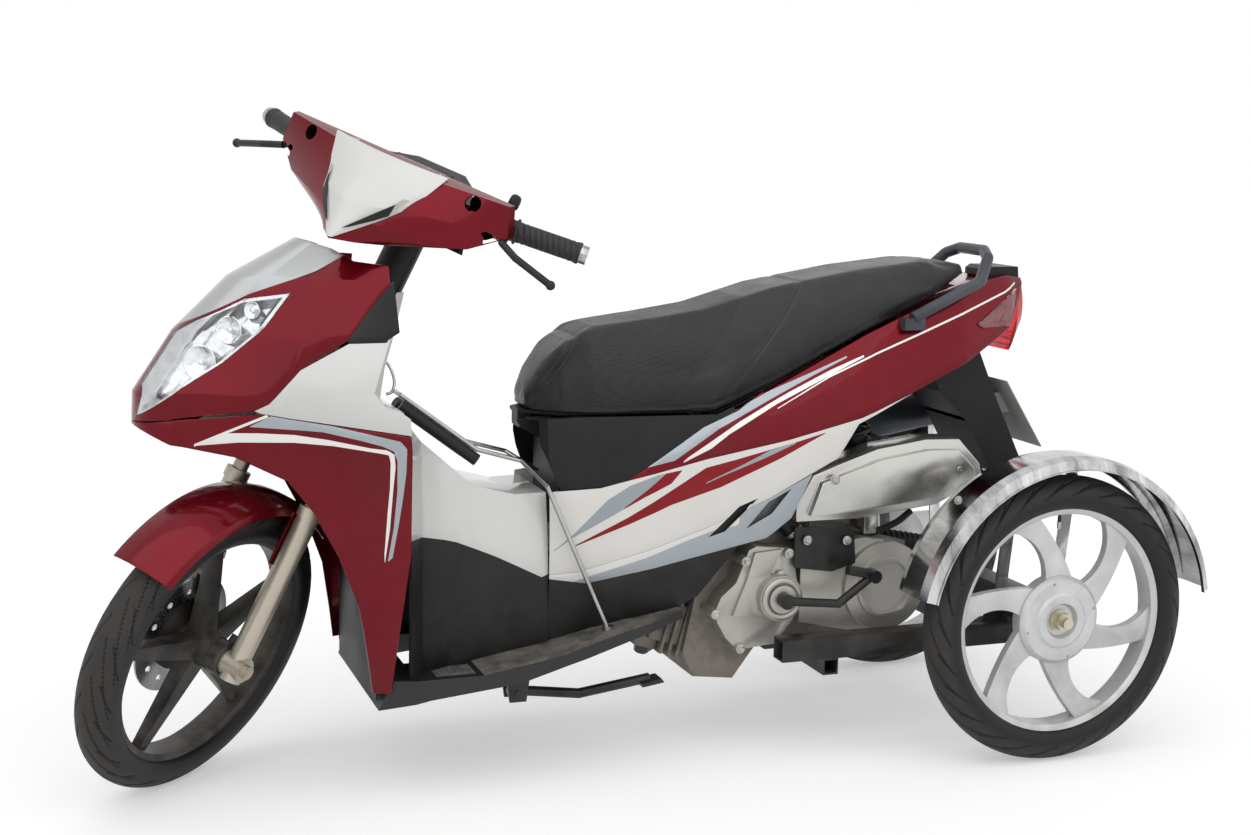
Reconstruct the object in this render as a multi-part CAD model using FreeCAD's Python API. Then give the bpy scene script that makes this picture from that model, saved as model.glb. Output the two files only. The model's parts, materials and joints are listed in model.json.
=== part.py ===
import FreeCAD, Part
import math
import os

# Motorized trike: a step-through scooter whose rear wheel has been replaced by a bolt-on
# axle with two wheels.  Millimetres, +X forward, +Y left, +Z up.
# Lengthwise places are stations: distances forward of the rear axle.  Every finished piece is
# moved back by axle_to_middle, so that the origin lies on the floor under the middle.

V = FreeCAD.Vector

# ---------------------------------------------------------------- overall sizes
axle_to_middle = 700.0
wheelbase = 1505.0
track = 630.0
tyre_radius = 266.0
tyre_width = 74.0
bead_radius = 204.0
rim_width = 56.0
flange_height = 9.0
rim_wall = 7.0

# steering
rake = 26.5
trail = 100.0
steer_angle = 45.5          # the bars are parked turned to the left, on the steering stop
head_bottom = 760.0         # distances along the steering axis, from the floor
head_top = 930.0
head_bore = 17.0
head_wall = 7.0
run_clearance = 0.05
leg_spread = 82.0           # fork legs, from the middle plane
slider_radius = 19.0
stanchion_radius = 13.5
bar_radius = 11.0

# axles
front_axle_radius = 7.0
stub_radius = 10.0
hub_gap = 0.4

# body panels
wall = 3.0
seam = 0.5

# kit frame
tube_size = 40.0
tube_wall = 3.0
tube_height = 208.0
fender_radius = 306.0
fender_half_width = 56.0
sheet = 2.0
lip_width = 6.0


# ---------------------------------------------------------------- helpers
def box(x0, x1, y0, y1, z0, z1):
    """Block between two corners."""
    return Part.makeBox(x1 - x0, y1 - y0, z1 - z0, V(x0, y0, z0))


def rod(start, end, radius):
    """Round bar from one point to another."""
    run = end - start
    return Part.makeCylinder(radius, run.Length, start, run)


def polygon(points):
    """Closed face through points."""
    return Part.Face(Part.makePolygon(points + [points[0]]))


def side_plate(outline, y0, y1):
    """Side-view outline (x, z) extruded across the machine."""
    return polygon([V(x, y0, z) for x, z in outline]).extrude(V(0, y1 - y0, 0))


def plan_plate(outline, z0, z1):
    """Plan outline (x, y) extruded upwards."""
    return polygon([V(x, y, z0) for x, y in outline]).extrude(V(0, 0, z1 - z0))


def front_plate(outline, x0, x1):
    """Front-view outline (y, z) extruded lengthwise."""
    return polygon([V(x0, y, z) for y, z in outline]).extrude(V(x1 - x0, 0, 0))


def mirrored(shape):
    """The same shape on the other side of the middle plane."""
    return shape.mirror(V(0, 0, 0), V(0, 1, 0))


def both_sides(shape):
    """A pair: the left one and its mirror image, as separate solids."""
    return Part.makeCompound([shape, mirrored(shape)])


def joined(shapes):
    """One body from overlapping shapes."""
    whole = shapes[0].multiFuse(shapes[1:]) if len(shapes) > 1 else shapes[0]
    return whole.removeSplitter()


def main_solid(shape):
    """Largest solid of a shape, without the crumbs that a cut leaves."""
    return max(shape.Solids, key=lambda solid: solid.Volume)


def bent_rod(points, radius, bend):
    """Round bar along straight runs joined by tangent arcs."""
    edges = []
    start = points[0]
    for before, corner, after in zip(points, points[1:], points[2:]):
        back = (before - corner).normalize()
        ahead = (after - corner).normalize()
        half = back.getAngle(ahead) / 2
        reach = bend / math.tan(half)
        first = corner + back * reach
        last = corner + ahead * reach
        inward = (back + ahead).normalize()
        middle = corner + inward * (bend / math.sin(half) - bend)
        edges.append(Part.LineSegment(start, first).toShape())
        edges.append(Part.Arc(first, middle, last).toShape())
        start = last
    edges.append(Part.LineSegment(start, points[-1]).toShape())
    path = Part.Wire(edges)
    ring = Part.Wire(Part.makeCircle(radius, points[0], points[1] - points[0]))
    return path.makePipeShell([ring], True, False)


def runs(points, radius):
    """Round bars welded end to end along straight runs."""
    bars = []
    for start, end in zip(points, points[1:]):
        over = (end - start).normalize() * radius * 0.4
        bars.append(rod(start, end + over, radius))
    return bars


def revolved(profile, axis=V(0, 1, 0)):
    """Ring from (radius, y) points turned about the Y axis."""
    face = polygon([V(r, y, 0) for r, y in profile])
    return face.revolve(V(0, 0, 0), axis, 360)


# ---------------------------------------------------------------- steering geometry
rake_sin = math.sin(math.radians(rake))
rake_cos = math.cos(math.radians(rake))
up_axis = V(-rake_sin, 0, rake_cos)
fore_axis = V(rake_cos, 0, rake_sin)
fork_offset = tyre_radius * rake_sin - trail * rake_cos

# Turned about the raked axis the front wheel leans, so the axle sits a little lower than the
# tyre's radius: front_drop is what brings the leaned tyre to the floor.
turn = math.radians(steer_angle)
hub_rise = trail * rake_sin + tyre_radius * rake_cos
turned_axle_z = hub_rise * rake_cos + fork_offset * math.cos(turn) * rake_sin
lean = math.asin(math.sin(turn) * rake_sin)
front_drop = (turned_axle_z - (tyre_radius - tyre_width / 2) * math.cos(lean)
              - tyre_width / 2)
steer_base = V(wheelbase + trail, 0, -front_drop)
front_axle = V(wheelbase, 0, tyre_radius - front_drop)


def on_fork(ahead, side, along):
    """Point in the fork's own directions: ahead of the axis, left, and along the axis."""
    return steer_base + fore_axis * ahead + V(0, side, 0) + up_axis * along


def steered(shape):
    """Turn a piece of the steering to its parked angle."""
    return shape.rotated(steer_base, up_axis, steer_angle)


# ---------------------------------------------------------------- wheels
crown_steps = 6


def tyre():
    """Road tyre with a round crown in flat bands, seated on the rim's bed."""
    half = tyre_width / 2
    crown = tyre_radius - half
    bead = rim_width / 2 - 4
    flange = bead_radius + flange_height
    right = []
    for i in range(crown_steps // 2 + 1):
        a = math.pi * i / crown_steps
        right.append((crown + half * math.cos(a), half * math.sin(a)))
    right += [(flange + 3, bead + 6), (flange, bead), (bead_radius, bead)]
    return revolved([(r, -y) for r, y in reversed(right[1:])] + right)


def rim_barrel():
    """Drop-centre rim with two flanges."""
    out = rim_width / 2
    lip = out - 4
    top = bead_radius + flange_height
    low = bead_radius - rim_wall
    return revolved([(top, -out), (top, -lip), (bead_radius, -lip), (bead_radius, lip),
                     (top, lip), (top, out), (low, out - 8), (low, 8 - out)])


blade_count = 6
blade_sweep = 24.5          # degrees that a blade leads forwards between hub and rim
blade_root_angle = 48.0
blade_waist_angle = 16.0
blade_tip_angle = 19.0
rear_hub_radius = 82.0
rear_hub_face = 24.0
rear_hub_back = 30.0


def arc_point(radius, angle, y=0.0):
    """Point in the wheel's plane, at an angle forward from straight up."""
    a = math.radians(angle)
    return V(radius * math.sin(a), y, radius * math.cos(a))


def blade(y0, y1):
    """Curved spoke, wide at the hub and narrower at the rim."""
    inner = rear_hub_radius - 8
    outer = bead_radius - rim_wall / 2
    mid = (inner + outer) / 2
    lead = [arc_point(inner, blade_root_angle / 2, y0),
            arc_point(mid, blade_sweep * 0.46 + blade_waist_angle / 2, y0),
            arc_point(outer, blade_sweep + blade_tip_angle / 2, y0)]
    trail_edge = [arc_point(outer, blade_sweep - blade_tip_angle / 2, y0),
                  arc_point(mid, blade_sweep * 0.46 - blade_waist_angle / 2, y0),
                  arc_point(inner, -blade_root_angle / 2, y0)]
    edges = [Part.Arc(*lead).toShape(), Part.LineSegment(lead[2], trail_edge[0]).toShape(),
             Part.Arc(*trail_edge).toShape(),
             Part.LineSegment(trail_edge[2], lead[0]).toShape()]
    return Part.Face(Part.Wire(edges)).extrude(V(0, y1 - y0, 0))


def rear_rim():
    """Cast rim: round hub cover, recess for the axle nut, six swept blades."""
    face = rear_hub_face
    bore = stub_radius + run_clearance
    hub = revolved([(bore, -rear_hub_back), (42, -rear_hub_back), (rear_hub_radius, -8),
                    (rear_hub_radius, face - 8), (rear_hub_radius - 8, face), (52, face),
                    (47, face + 4), (33, face + 4), (28, face - 6), (bore, face - 6)])
    blades = [blade(-4, 12).rotated(V(0, 0, 0), V(0, 1, 0), i * 360 / blade_count)
              for i in range(blade_count)]
    hole = Part.makeCylinder(2.5, 8, V(0, face - 3, rear_hub_radius - 11), V(0, 1, 0))
    holes = [hole.rotated(V(0, 0, 0), V(0, 1, 0), 15 + i * 90) for i in range(4)]
    return joined([rim_barrel(), hub] + blades).cut(Part.makeCompound(holes))


spoke_count = 5
front_hub_radius = 31.0
front_hub_half = 38.0
disc_radius = 108.0
disc_inner = 58.0
disc_thickness = 4.0
disc_face = -41.0           # inner face of the brake disc, on the right


def front_rim():
    """Cast rim with five spokes that taper towards the bed, and the disc's flange."""
    outer = bead_radius - rim_wall / 2
    bore = front_axle_radius + run_clearance
    spoke = Part.makeLoft([
        Part.makePolygon([V(-s, -w, z), V(s, -w, z), V(s, w, z), V(-s, w, z), V(-s, -w, z)])
        for s, w, z in ((20, 16, 20), (9, 9, outer))], True, True)
    spokes = [spoke.rotated(V(0, 0, 0), V(0, 1, 0), i * 360 / spoke_count)
              for i in range(spoke_count)]
    hub = revolved([(bore, -front_hub_half), (26, -front_hub_half), (26, disc_face),
                    (disc_inner + 6, disc_face), (disc_inner + 6, disc_face + 5),
                    (front_hub_radius, disc_face + 12), (front_hub_radius, front_hub_half),
                    (bore, front_hub_half)])
    solid = joined([rim_barrel(), hub] + spokes)
    return solid.cut(Part.makeCylinder(bore, 4 * front_hub_half,
                                       V(0, -2 * front_hub_half, 0), V(0, 1, 0)))


def front_disc():
    """Drilled brake disc."""
    ring = revolved([(disc_inner, disc_face - disc_thickness), (disc_inner, disc_face),
                     (disc_radius, disc_face), (disc_radius, disc_face - disc_thickness)])
    hole = Part.makeCylinder(6, 3 * disc_thickness, V(0, disc_face - 2 * disc_thickness, 84),
                             V(0, 1, 0))
    holes = [hole.rotated(V(0, 0, 0), V(0, 1, 0), i * 30) for i in range(12)]
    return ring.cut(Part.makeCompound(holes))


def at_front(shape):
    """Set a wheel piece on the front axle, then turn it with the fork."""
    return steered(shape.translated(front_axle))


def at_rear(shape, side):
    """Set a wheel piece on a rear stub axle; the right wheel is the same casting turned round."""
    if side < 0:
        shape = shape.rotated(V(0, 0, 0), V(0, 0, 1), 180)
    return shape.translated(V(0, side * track / 2, tyre_radius))


# ---------------------------------------------------------------- fork and bars
axle_along = hub_rise
slider_low = axle_along - 26
slider_high = axle_along + 290
yoke_low = slider_high + 110
yoke_high = yoke_low + 32
yoke_half = leg_spread + 24
yoke_reach = math.hypot(yoke_half, fork_offset + 24)
stem_top = 1128.0
bar_along = 1112.0
bar_ahead = 14.0


def fork_stem():
    """Steering stem with the lower yoke and the bar clamp on top."""
    stem = rod(on_fork(0, 0, yoke_low), on_fork(0, 0, stem_top), head_bore - run_clearance)
    yoke = box(-26, fork_offset + 24, -yoke_half, yoke_half, yoke_low, yoke_high)
    corner = box(-26, 4, leg_spread - 18, yoke_half, yoke_low, yoke_high)
    yoke = yoke.cut(corner).cut(mirrored(corner))
    seat = box(-20, bar_ahead + 18, -34, 34, bar_along - 18, bar_along + 18)
    placed = [on_fork_shape(yoke), on_fork_shape(seat)]
    ring = rod(on_fork(0, 0, head_bottom - 9), on_fork(0, 0, head_bottom - 0.4), head_bore + 8)
    nut = rod(on_fork(0, 0, head_top + 0.4), on_fork(0, 0, head_top + 14), head_bore + 8)
    whole = joined([stem, ring, nut] + placed)
    sockets = [rod(on_fork(fork_offset, s * leg_spread, yoke_low - 5),
                   on_fork(fork_offset, s * leg_spread, yoke_high + 5), stanchion_radius)
               for s in (-1, 1)]
    grip_hole = rod(on_fork(bar_ahead, -60, bar_along), on_fork(bar_ahead, 60, bar_along),
                    bar_radius)
    return steered(whole.cut(Part.makeCompound(sockets)).cut(grip_hole))


def on_fork_shape(shape):
    """Turn a shape drawn in the fork's own axes (ahead, left, along) into place."""
    tilted = shape.rotated(V(0, 0, 0), V(0, 1, 0), -rake)
    return tilted.translated(steer_base)


def fork_leg(side):
    """Telescopic leg: bright stanchion in a cast slider with an axle lug."""
    y = side * leg_spread
    stanchion = rod(on_fork(fork_offset, y, slider_high - 10),
                    on_fork(fork_offset, y, yoke_high), stanchion_radius)
    slider = rod(on_fork(fork_offset, y, slider_low), on_fork(fork_offset, y, slider_high),
                 slider_radius)
    collar = rod(on_fork(fork_offset, y, slider_high - 14),
                 on_fork(fork_offset, y, slider_high + 4), slider_radius + 3)
    reach = slider_radius + 1
    lug = rod(front_axle + V(0, y - reach, 0), front_axle + V(0, y + reach, 0), slider_radius + 3)
    return [stanchion, slider, collar, lug]


def fork_legs():
    """Both legs with the axle clamped through them."""
    end = leg_spread + slider_radius + 1
    axle = rod(front_axle + V(0, -end - 10, 0), front_axle + V(0, end + 10, 0),
               front_axle_radius)
    nut = rod(front_axle + V(0, end, 0), front_axle + V(0, end + 9, 0), 12)
    head = rod(front_axle + V(0, -end - 8, 0), front_axle + V(0, -end, 0), 12)
    return steered(joined(fork_leg(1) + fork_leg(-1) + [axle, nut, head]))


def speedometer_drive():
    """Ribbed drum beside the hub, with the cable's socket."""
    inner = front_hub_half + hub_gap
    outer = leg_spread - slider_radius - 1.3
    drum = revolved([(front_axle_radius, inner), (30, inner), (30, outer - 4), (26, outer),
                     (front_axle_radius, outer)])
    socket = rod(V(0, inner + 12, 0), V(-30, inner + 12, 32), 8)
    bore = rod(V(0, 0, 0), V(0, 2 * outer, 0), front_axle_radius)
    return at_front(joined([drum, socket]).cut(bore))


fender_crown = tyre_radius + 24
fender_low = tyre_radius + 2
fender_front_angle = 40.0    # degrees forward from straight up
fender_back_angle = -52.0


def front_fender():
    """Painted mudguard: a crowned channel round the front of the tyre, hung on the legs."""
    half = leg_spread - slider_radius - 1
    ring = revolved([(fender_low, -half), (fender_crown - 10, -half + 6), (fender_crown, -20),
                     (fender_crown, 20), (fender_crown - 10, half - 6), (fender_low, half),
                     (fender_low, half - wall), (fender_crown - 12, half - 9),
                     (fender_crown - wall, 18), (fender_crown - wall, -18),
                     (fender_crown - 12, 9 - half), (fender_low, wall - half)])
    reach = 2 * fender_crown
    wedge = polygon([V(0, 0, 0), arc_point(reach, fender_front_angle),
                     arc_point(reach, (fender_front_angle + fender_back_angle) / 2),
                     arc_point(reach, fender_back_angle)])
    sector = wedge.translated(V(0, -100, 0)).extrude(V(0, 200, 0))
    guard = ring.common(sector)
    ear = box(-16, 16, half - wall, half + 1, 180, fender_low + 8)
    ear = ear.rotated(V(0, 0, 0), V(0, 1, 0), -rake)
    return at_front(joined([guard, ear, mirrored(ear)]))


def brake_caliper():
    """Two-part caliper over the disc, bolted to the right leg."""
    y = disc_face - disc_thickness / 2
    body = box(-62, -20, y - 16, y + 15, 72, disc_radius + 14)
    slot = box(-80, 0, y - disc_thickness / 2 - 1.5, y + disc_thickness / 2 + 1.5,
               40, disc_radius + 4)
    mount = box(-50, -24, -leg_spread, y - 15.5, 74, 104)
    leg = rod(V(0, -leg_spread, 0) - up_axis * 50, V(0, -leg_spread, 0) + up_axis * 300,
              slider_radius)
    return at_front(joined([body.cut(slot), mount]).cut(leg))


# bar shape: ahead of the steering axis, left, along the axis
bar_points = ((14, 0, 1112), (14, 62, 1112), (80, 130, 1128), (91, 205, 1136), (41, 330, 1152))
grip_length = 112.0
grip_radius = 16.5


def bar_line():
    """Corners of the handlebar from the right end to the left."""
    left = [on_fork(*p) for p in bar_points[1:]]
    right = [on_fork(p[0], -p[1], p[2]) for p in reversed(bar_points[1:])]
    return right + left


def handlebar():
    """Bent steel handlebar with end weights."""
    line = bar_line()
    bar = bent_rod(line, bar_radius, 30)
    ends = []
    for last, before in ((line[0], line[1]), (line[-1], line[-2])):
        out = (last - before).normalize()
        ends.append(rod(last, last + out * 12, grip_radius - 1))
    return steered(joined([bar] + ends))


def grip(side):
    """Rubber sleeve with a flange, closed on the bar."""
    line = bar_line()
    last, before = (line[-1], line[-2]) if side > 0 else (line[0], line[1])
    into = (before - last).normalize()
    sleeve = rod(last, last + into * grip_length, grip_radius)
    flange = rod(last + into * (grip_length - 6), last + into * grip_length, grip_radius + 4)
    bore = rod(last - into * 5, last + into * (grip_length + 5), bar_radius)
    return joined([sleeve, flange]).cut(bore)


def grips():
    return steered(Part.makeCompound([grip(1), grip(-1)]))


def bar_core():
    """Bar with the running clearance of what is clamped on it."""
    return joined(runs(bar_line(), bar_radius + run_clearance))


def ball(centre, radius):
    """Ball end of a lever."""
    return Part.makeSphere(radius, centre)


def lever(side):
    """Clamp on the bar with a pivot and a two-part blade."""
    line = bar_line()
    last, before = (line[-1], line[-2]) if side > 0 else (line[0], line[1])
    into = (before - last).normalize()
    ahead = (fore_axis - into * fore_axis.dot(into)).normalize()
    root = last + into * (grip_length + 0.8)
    clamp = rod(root, root + into * 14, bar_radius + 7)
    bore = rod(root - into * 2, root + into * 24, bar_radius + run_clearance)
    pivot = root + into * 7 + ahead * 34 - up_axis * 30
    arm = rod(root + into * 7, pivot, 6.5)
    bend = on_fork(121, side * 268, 1096)
    tip = on_fork(97, side * 334, 1081)
    return joined([clamp, arm, ball(tip, 8)] + runs([pivot, bend, tip], 6)).cut(bore).cut(bar_core())


def levers():
    return steered(Part.makeCompound([lever(1), lever(-1)]))


# bar cover with the bars straight: height, keel, shoulder (station, half width), wing tip
cover_sections = (
    (980, 1358, (1330, 34), (1296, 60)),
    (1012, 1342, (1310, 60), (1240, 186)),
    (1046, 1312, (1286, 74), (1210, 238)),
    (1096, 1246, (1232, 110), (1206, 228)),
)
# visor: height, middle, side (station, half width)
visor_sections = ((984, 1359, (1357, 6)), (1044, 1322, (1278, 84)), (1106, 1240, (1228, 116)))
cover_back = 1192.0
mirror_hole = 13.0
throat_radius = 31.0
throat_low = 958.0          # along the steering axis


def cover_wire(row, inset):
    """V-shaped plan section of the bar cover; the inner one is open at the back."""
    z, keel, shoulder, wing = row
    half = [(keel - inset, 0), (shoulder[0] - inset, shoulder[1]), (wing[0] - inset, wing[1] - inset)]
    back = min(cover_back, wing[0] - 4) - 4 * inset
    points = half + [(back, wing[1] - inset), (back, inset - wing[1])]
    points += [(x, -y) for x, y in reversed(half[1:])]
    return Part.makePolygon([V(x, y, z) for x, y in points + points[:1]])


def cover_form(inset):
    """Faceted form of the bar cover."""
    rows = [list(row) for row in cover_sections]
    rows[0][0] += inset
    rows[-1][0] -= inset
    return Part.makeLoft([cover_wire(row, inset) for row in rows], True, True)


def visor_form(inset):
    """Bulged triangular form of the visor."""
    wires = []
    for z, middle, (side, half) in visor_sections:
        left, right = V(side - inset, half, z), V(side - inset, -half, z)
        front = Part.Arc(left, V(middle - inset, 0, z), right).toShape()
        back = Part.makePolygon([right, V(side - 14, -half, z), V(side - 14, half, z), left])
        wires.append(Part.Wire([front] + back.Edges))
    return Part.makeLoft(wires, True, True)


def bar_room():
    """Room for the bar and the levers inside the bar cover."""
    room = []
    for s in (-1, 1):
        corners = [on_fork(a, s * y, l) for a, y, l in bar_points]
        room += runs(corners, bar_radius + 4)
        pivot = on_fork(125, s * 205, 1106)
        room += runs([corners[-2], pivot, on_fork(121, s * 268, 1096)], 10)
    return room + [lever(1), lever(-1)]


def bar_cover():
    """Painted cover in front of the bars, open at the back, with two mirror holes."""
    shell = cover_form(0).cut(cover_form(wall))
    hole = Part.makeCylinder(mirror_hole, 80, V(1180, 170, 1074), V(1, 0, 0.2))
    shell = shell.cut(hole).cut(mirrored(hole)).cut(visor_form(-0.3))
    for block in bar_room():
        shell = shell.cut(block)
    return steered(shell)


def rear_cover():
    """Rider's side of the bar cover: a tray under the bars, the throat and the instruments."""
    tray = plan_plate([(cover_back - 1, 150), (cover_back - 1, -150), (1110, -92), (1072, -50),
                       (1072, 50), (1110, 92)],
                      978, 1064)
    room = plan_plate([(cover_back + 3, 146), (cover_back + 3, -146), (1113, -90), (1075, -48),
                       (1075, 48), (1113, 90)],
                      981, 1061)
    hood = plan_plate([(1190, 78), (1190, -78), (1122, -58), (1122, 58)], 1064, 1075)
    dial = plan_plate([(1180, 66), (1180, -66), (1130, -50), (1130, 50)], 1070, 1080)
    throat = rod(on_fork(0, 0, throat_low), on_fork(0, 0, 1122), throat_radius)
    body = joined([tray.cut(room), hood.cut(dial), throat.common(box(1000, 1300, -60, 60, 800, 981))])
    body = body.cut(rod(on_fork(0, 0, 800), on_fork(0, 0, 1150), throat_radius - wall))
    seat = box(-24, bar_ahead + 22, -36, 36, bar_along - 19, bar_along + 24)
    body = body.cut(on_fork_shape(seat))
    for block in bar_room():
        body = body.cut(block)
    return steered(body)


def visor():
    """White shield panel on the front of the bar cover."""
    return steered(visor_form(0).cut(visor_form(wall).translated(V(-1, 0, 0))))


# ---------------------------------------------------------------- front bodywork
# Plan sections of the front body, each a closed outline: stations ahead of (+) or behind (-)
# the straight front axle.  height, nose tip, shoulder (ahead, half width), flank, rear edge.
front_sections = (
    #  z    tip  shoulder     flank         rear
    (190,   40, (-150, 120), (-245, 168), (-300, 192)),
    (430,   70, (-90, 100), (-215, 160), (-332, 203)),
    (600,   96, (20, 74), (-150, 150), (-334, 205)),
    (690,   92, (30, 72), (-140, 152), (-330, 200)),
    (790,   26, (-40, 70), (-170, 146), (-318, 184)),
    (880,  -66, (-120, 62), (-215, 122), (-312, 164)),
    (945, -184, (-215, 42), (-260, 78), (-312, 140)),
)


def front_wire(row, inset):
    """Outline of one plan section, moved inwards by inset."""
    z, tip, shoulder, flank, rear = row
    tip_x = wheelbase + tip - inset
    sx, sy = wheelbase + shoulder[0], shoulder[1] - inset
    mx, my = wheelbase + flank[0], flank[1] - inset
    rx, ry = wheelbase + rear[0] - inset, rear[1] - inset
    nose = Part.Arc(V(sx, -sy, z), V(tip_x, 0, z), V(sx, sy, z)).toShape()
    corners = [V(sx, sy, z), V(mx, my, z), V(rx, ry, z), V(rx, -ry, z), V(mx, -my, z),
               V(sx, -sy, z)]
    lines = [Part.LineSegment(a, b).toShape() for a, b in zip(corners, corners[1:])]
    return Part.Wire([nose] + lines)


def front_form(inset):
    """Master form of the front body."""
    return Part.makeLoft([front_wire(row, inset) for row in front_sections], True, True)


front_skin = front_form(0).cut(front_form(wall))


def front_panel(outline):
    """Panel cut from the front skin by a side-view outline (ahead of the axle, height)."""
    return front_skin.common(side_plate([(wheelbase + x, z) for x, z in outline], -320, 320))


# side-view outlines, stations relative to the front axle
# seam between the upper cowl and the leg shield
cowl_edge = ((-88, 668), (-112, 681), (-161, 737), (-235, 784), (-284, 849), (-345, 918))
lamp_outline = ((90, 650), (66, 762), (-8, 810), (-86, 846), (-156, 858), (-110, 800),
                (-45, 744), (26, 697))
nose_panel_outline = ((30, 792), (-18, 842), (-98, 905), (-184, 960), (-262, 960), (-262, 921),
                      (-190, 890), (-92, 853), (6, 806))


# crown of the nose in the middle plane
nose_crown = ((-100, 960), (-178, 943), (-228, 928), (-256, 910), (-420, 892))


def shield_outline(gap):
    """Lower shield: beak under the lamps, wheel arch in front, long tail down to the floor."""
    return ((100, 640 - gap), (40, 608), (-60, 590), (-140, 552), (-180, 500), (-220, 424),
            (-252, 337), (-265, 250), (-272, 192), (-340, 192), (-340, 628 - gap),
            (-100, 664 - gap))


def front_shield():
    """Painted lower shield, one moulding round both sides and under the nose."""
    return front_panel(shield_outline(seam))


def above_nose():
    """Everything above the crown of the nose, which falls towards the rider."""
    line = [(wheelbase + x, z) for x, z in nose_crown]
    return side_plate(line + [(line[-1][0], 1000), (line[0][0], 1000)], -300, 300)


def nose_cowl():
    """Painted upper cowl with its two wings."""
    outline = ((120, 640),) + cowl_edge + ((-345, 965), (120, 965))
    panel = front_panel(outline)
    panel = panel.cut(lamp_block(seam)).cut(nose_block(seam))
    back = box(wheelbase - 420, wheelbase - 306, -300, 300, 600, 990)
    return main_solid(panel.cut(above_nose()).cut(back).cut(throat_room()))


def lamp_block(grow):
    """Side-view cutter for both lamps; they stop short of the middle."""
    outline = [(wheelbase + x, z) for x, z in lamp_outline]
    block = side_plate(outline, 18 - grow, 320)
    return Part.makeCompound([block, mirrored(block)])


def nose_block(grow):
    """Cutter for the bright nose panel."""
    outline = [(wheelbase + x, z) for x, z in nose_panel_outline]
    return side_plate(outline, -96 - grow, 96 + grow)


def nose_panel():
    """Bright panel on the crest of the nose."""
    return front_skin.common(nose_block(-seam)).cut(above_nose())


def headlight_lenses():
    """Clear covers of the two lamps, flush with the cowl."""
    return front_skin.common(lamp_block(-seam))


bowl_depth = 32.0


def headlight_bowls():
    """Reflector bowls behind the lenses."""
    outline = [(wheelbase + x, z) for x, z in lamp_outline]
    middle = V(sum(x for x, z in outline) / len(outline), 0, sum(z for x, z in outline) / len(outline))
    rim = [(middle.x + 0.9 * (x - middle.x), middle.z + 0.9 * (z - middle.z)) for x, z in outline]
    block = side_plate(outline, 24, 200).common(front_form(wall + 0.3)).cut(front_form(bowl_depth))
    hollow = side_plate(rim, 27, 200).common(front_form(0)).cut(front_form(bowl_depth - wall))
    return both_sides(block.cut(hollow))


# ---------------------------------------------------------------- middle and rear bodywork
def cross_wire(row, inset):
    """Cross-section of a body form: flat top and bottom, bowed sides.

    An inner form is deeper than the outer one, so that the skin is open below.
    """
    x, z_low, w_low, z_mid, w_mid, z_top, w_top = row
    z_low, z_top = z_low - 4 * inset, z_top - inset
    w_low, w_mid, w_top = w_low - inset, w_mid - inset, w_top - inset
    right = Part.Arc(V(x, -w_low, z_low), V(x, -w_mid, z_mid), V(x, -w_top, z_top)).toShape()
    left = Part.Arc(V(x, w_top, z_top), V(x, w_mid, z_mid), V(x, w_low, z_low)).toShape()
    top = Part.LineSegment(V(x, -w_top, z_top), V(x, w_top, z_top)).toShape()
    low = Part.LineSegment(V(x, w_low, z_low), V(x, -w_low, z_low)).toShape()
    return Part.Wire([right, top, left, low])


def body_form(sections, inset, lengthen=0.0):
    """Master form through a table of cross-sections."""
    rows = list(sections)
    if lengthen:
        rows[0] = (rows[0][0] + lengthen,) + rows[0][1:]
        rows[-1] = (rows[-1][0] - lengthen,) + rows[-1][1:]
    return Part.makeLoft([cross_wire(row, inset) for row in rows], True, True)


# tunnel between the rider's feet: station, bottom, half width, mid height, half width, top, half width
tunnel_sections = (
    (wheelbase - 333, 205, 184, 420, 196, 642, 190),
    (wheelbase - 368, 205, 138, 400, 132, 606, 120),
    (wheelbase - 410, 205, 118, 390, 112, 570, 94),
    (wheelbase - 468, 205, 108, 380, 104, 519, 84),
    (960, 208, 106, 370, 103, 499, 84),
    (860, 225, 110, 380, 108, 502, 88),
)
# body under the seat and behind it
rear_sections = (
    (944, 215, 50, 440, 56, 628, 36),
    (905, 220, 102, 440, 114, 631, 93),
    (860, 225, 110, 440, 124, 634, 104),
    (720, 240, 124, 450, 150, 640, 116),
    (500, 300, 128, 500, 166, 672, 122),
    (300, 420, 118, 620, 158, 775, 112),
    (100, 560, 84, 730, 130, 850, 92),
    (-22, 680, 54, 790, 88, 872, 62),
    (-62, 762, 40, 815, 62, 866, 46),
)

tunnel_skin = body_form(tunnel_sections, 0).cut(body_form(tunnel_sections, wall, 10))
tunnel_end = 905.0          # station where the tunnel's cover meets the side covers


def tunnel_panel(outline):
    """Part of the tunnel's skin inside a side-view outline."""
    return tunnel_skin.common(side_plate(outline, -300, 300))


def rear_panel(outline):
    """Part of the rear skin inside a side-view outline, open under the seat and clear of it."""
    skin = body_form(rear_sections, 0).cut(body_form(rear_sections, wall, 10))
    well = above_seat(60).common(plan_plate(pan_plan(6), 500, 1000))
    panel = skin.common(side_plate(outline, -300, 300))
    return panel.cut(above_seat(pan_thickness + seat_gap)).cut(well)


# rider's side of the leg shield: station and height, from the floor of the tunnel to the top
shield_back = ((-372, 585), (-338, 656), (-300, 668), (-275, 700), (-301, 783), (-316, 864),
               (-312, 930))


# top of the white leg shield beside the pocket
pocket_line = ((-238, 780), (-293, 782), (-345, 816))


def leg_shield_outline(gap):
    """Side wedge of the leg shield between cowl, pocket and lower shield."""
    upper = [(x, z - gap) for x, z in cowl_edge[1:3] + pocket_line[:2]]
    rear = [(x, z) for x, z in reversed(shield_back[1:5])]
    return ([(-90, 668 + gap)] + upper + rear
            + [(-345, 640 + gap), (-345, 628 + gap), (-100, 664 + gap)])


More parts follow.
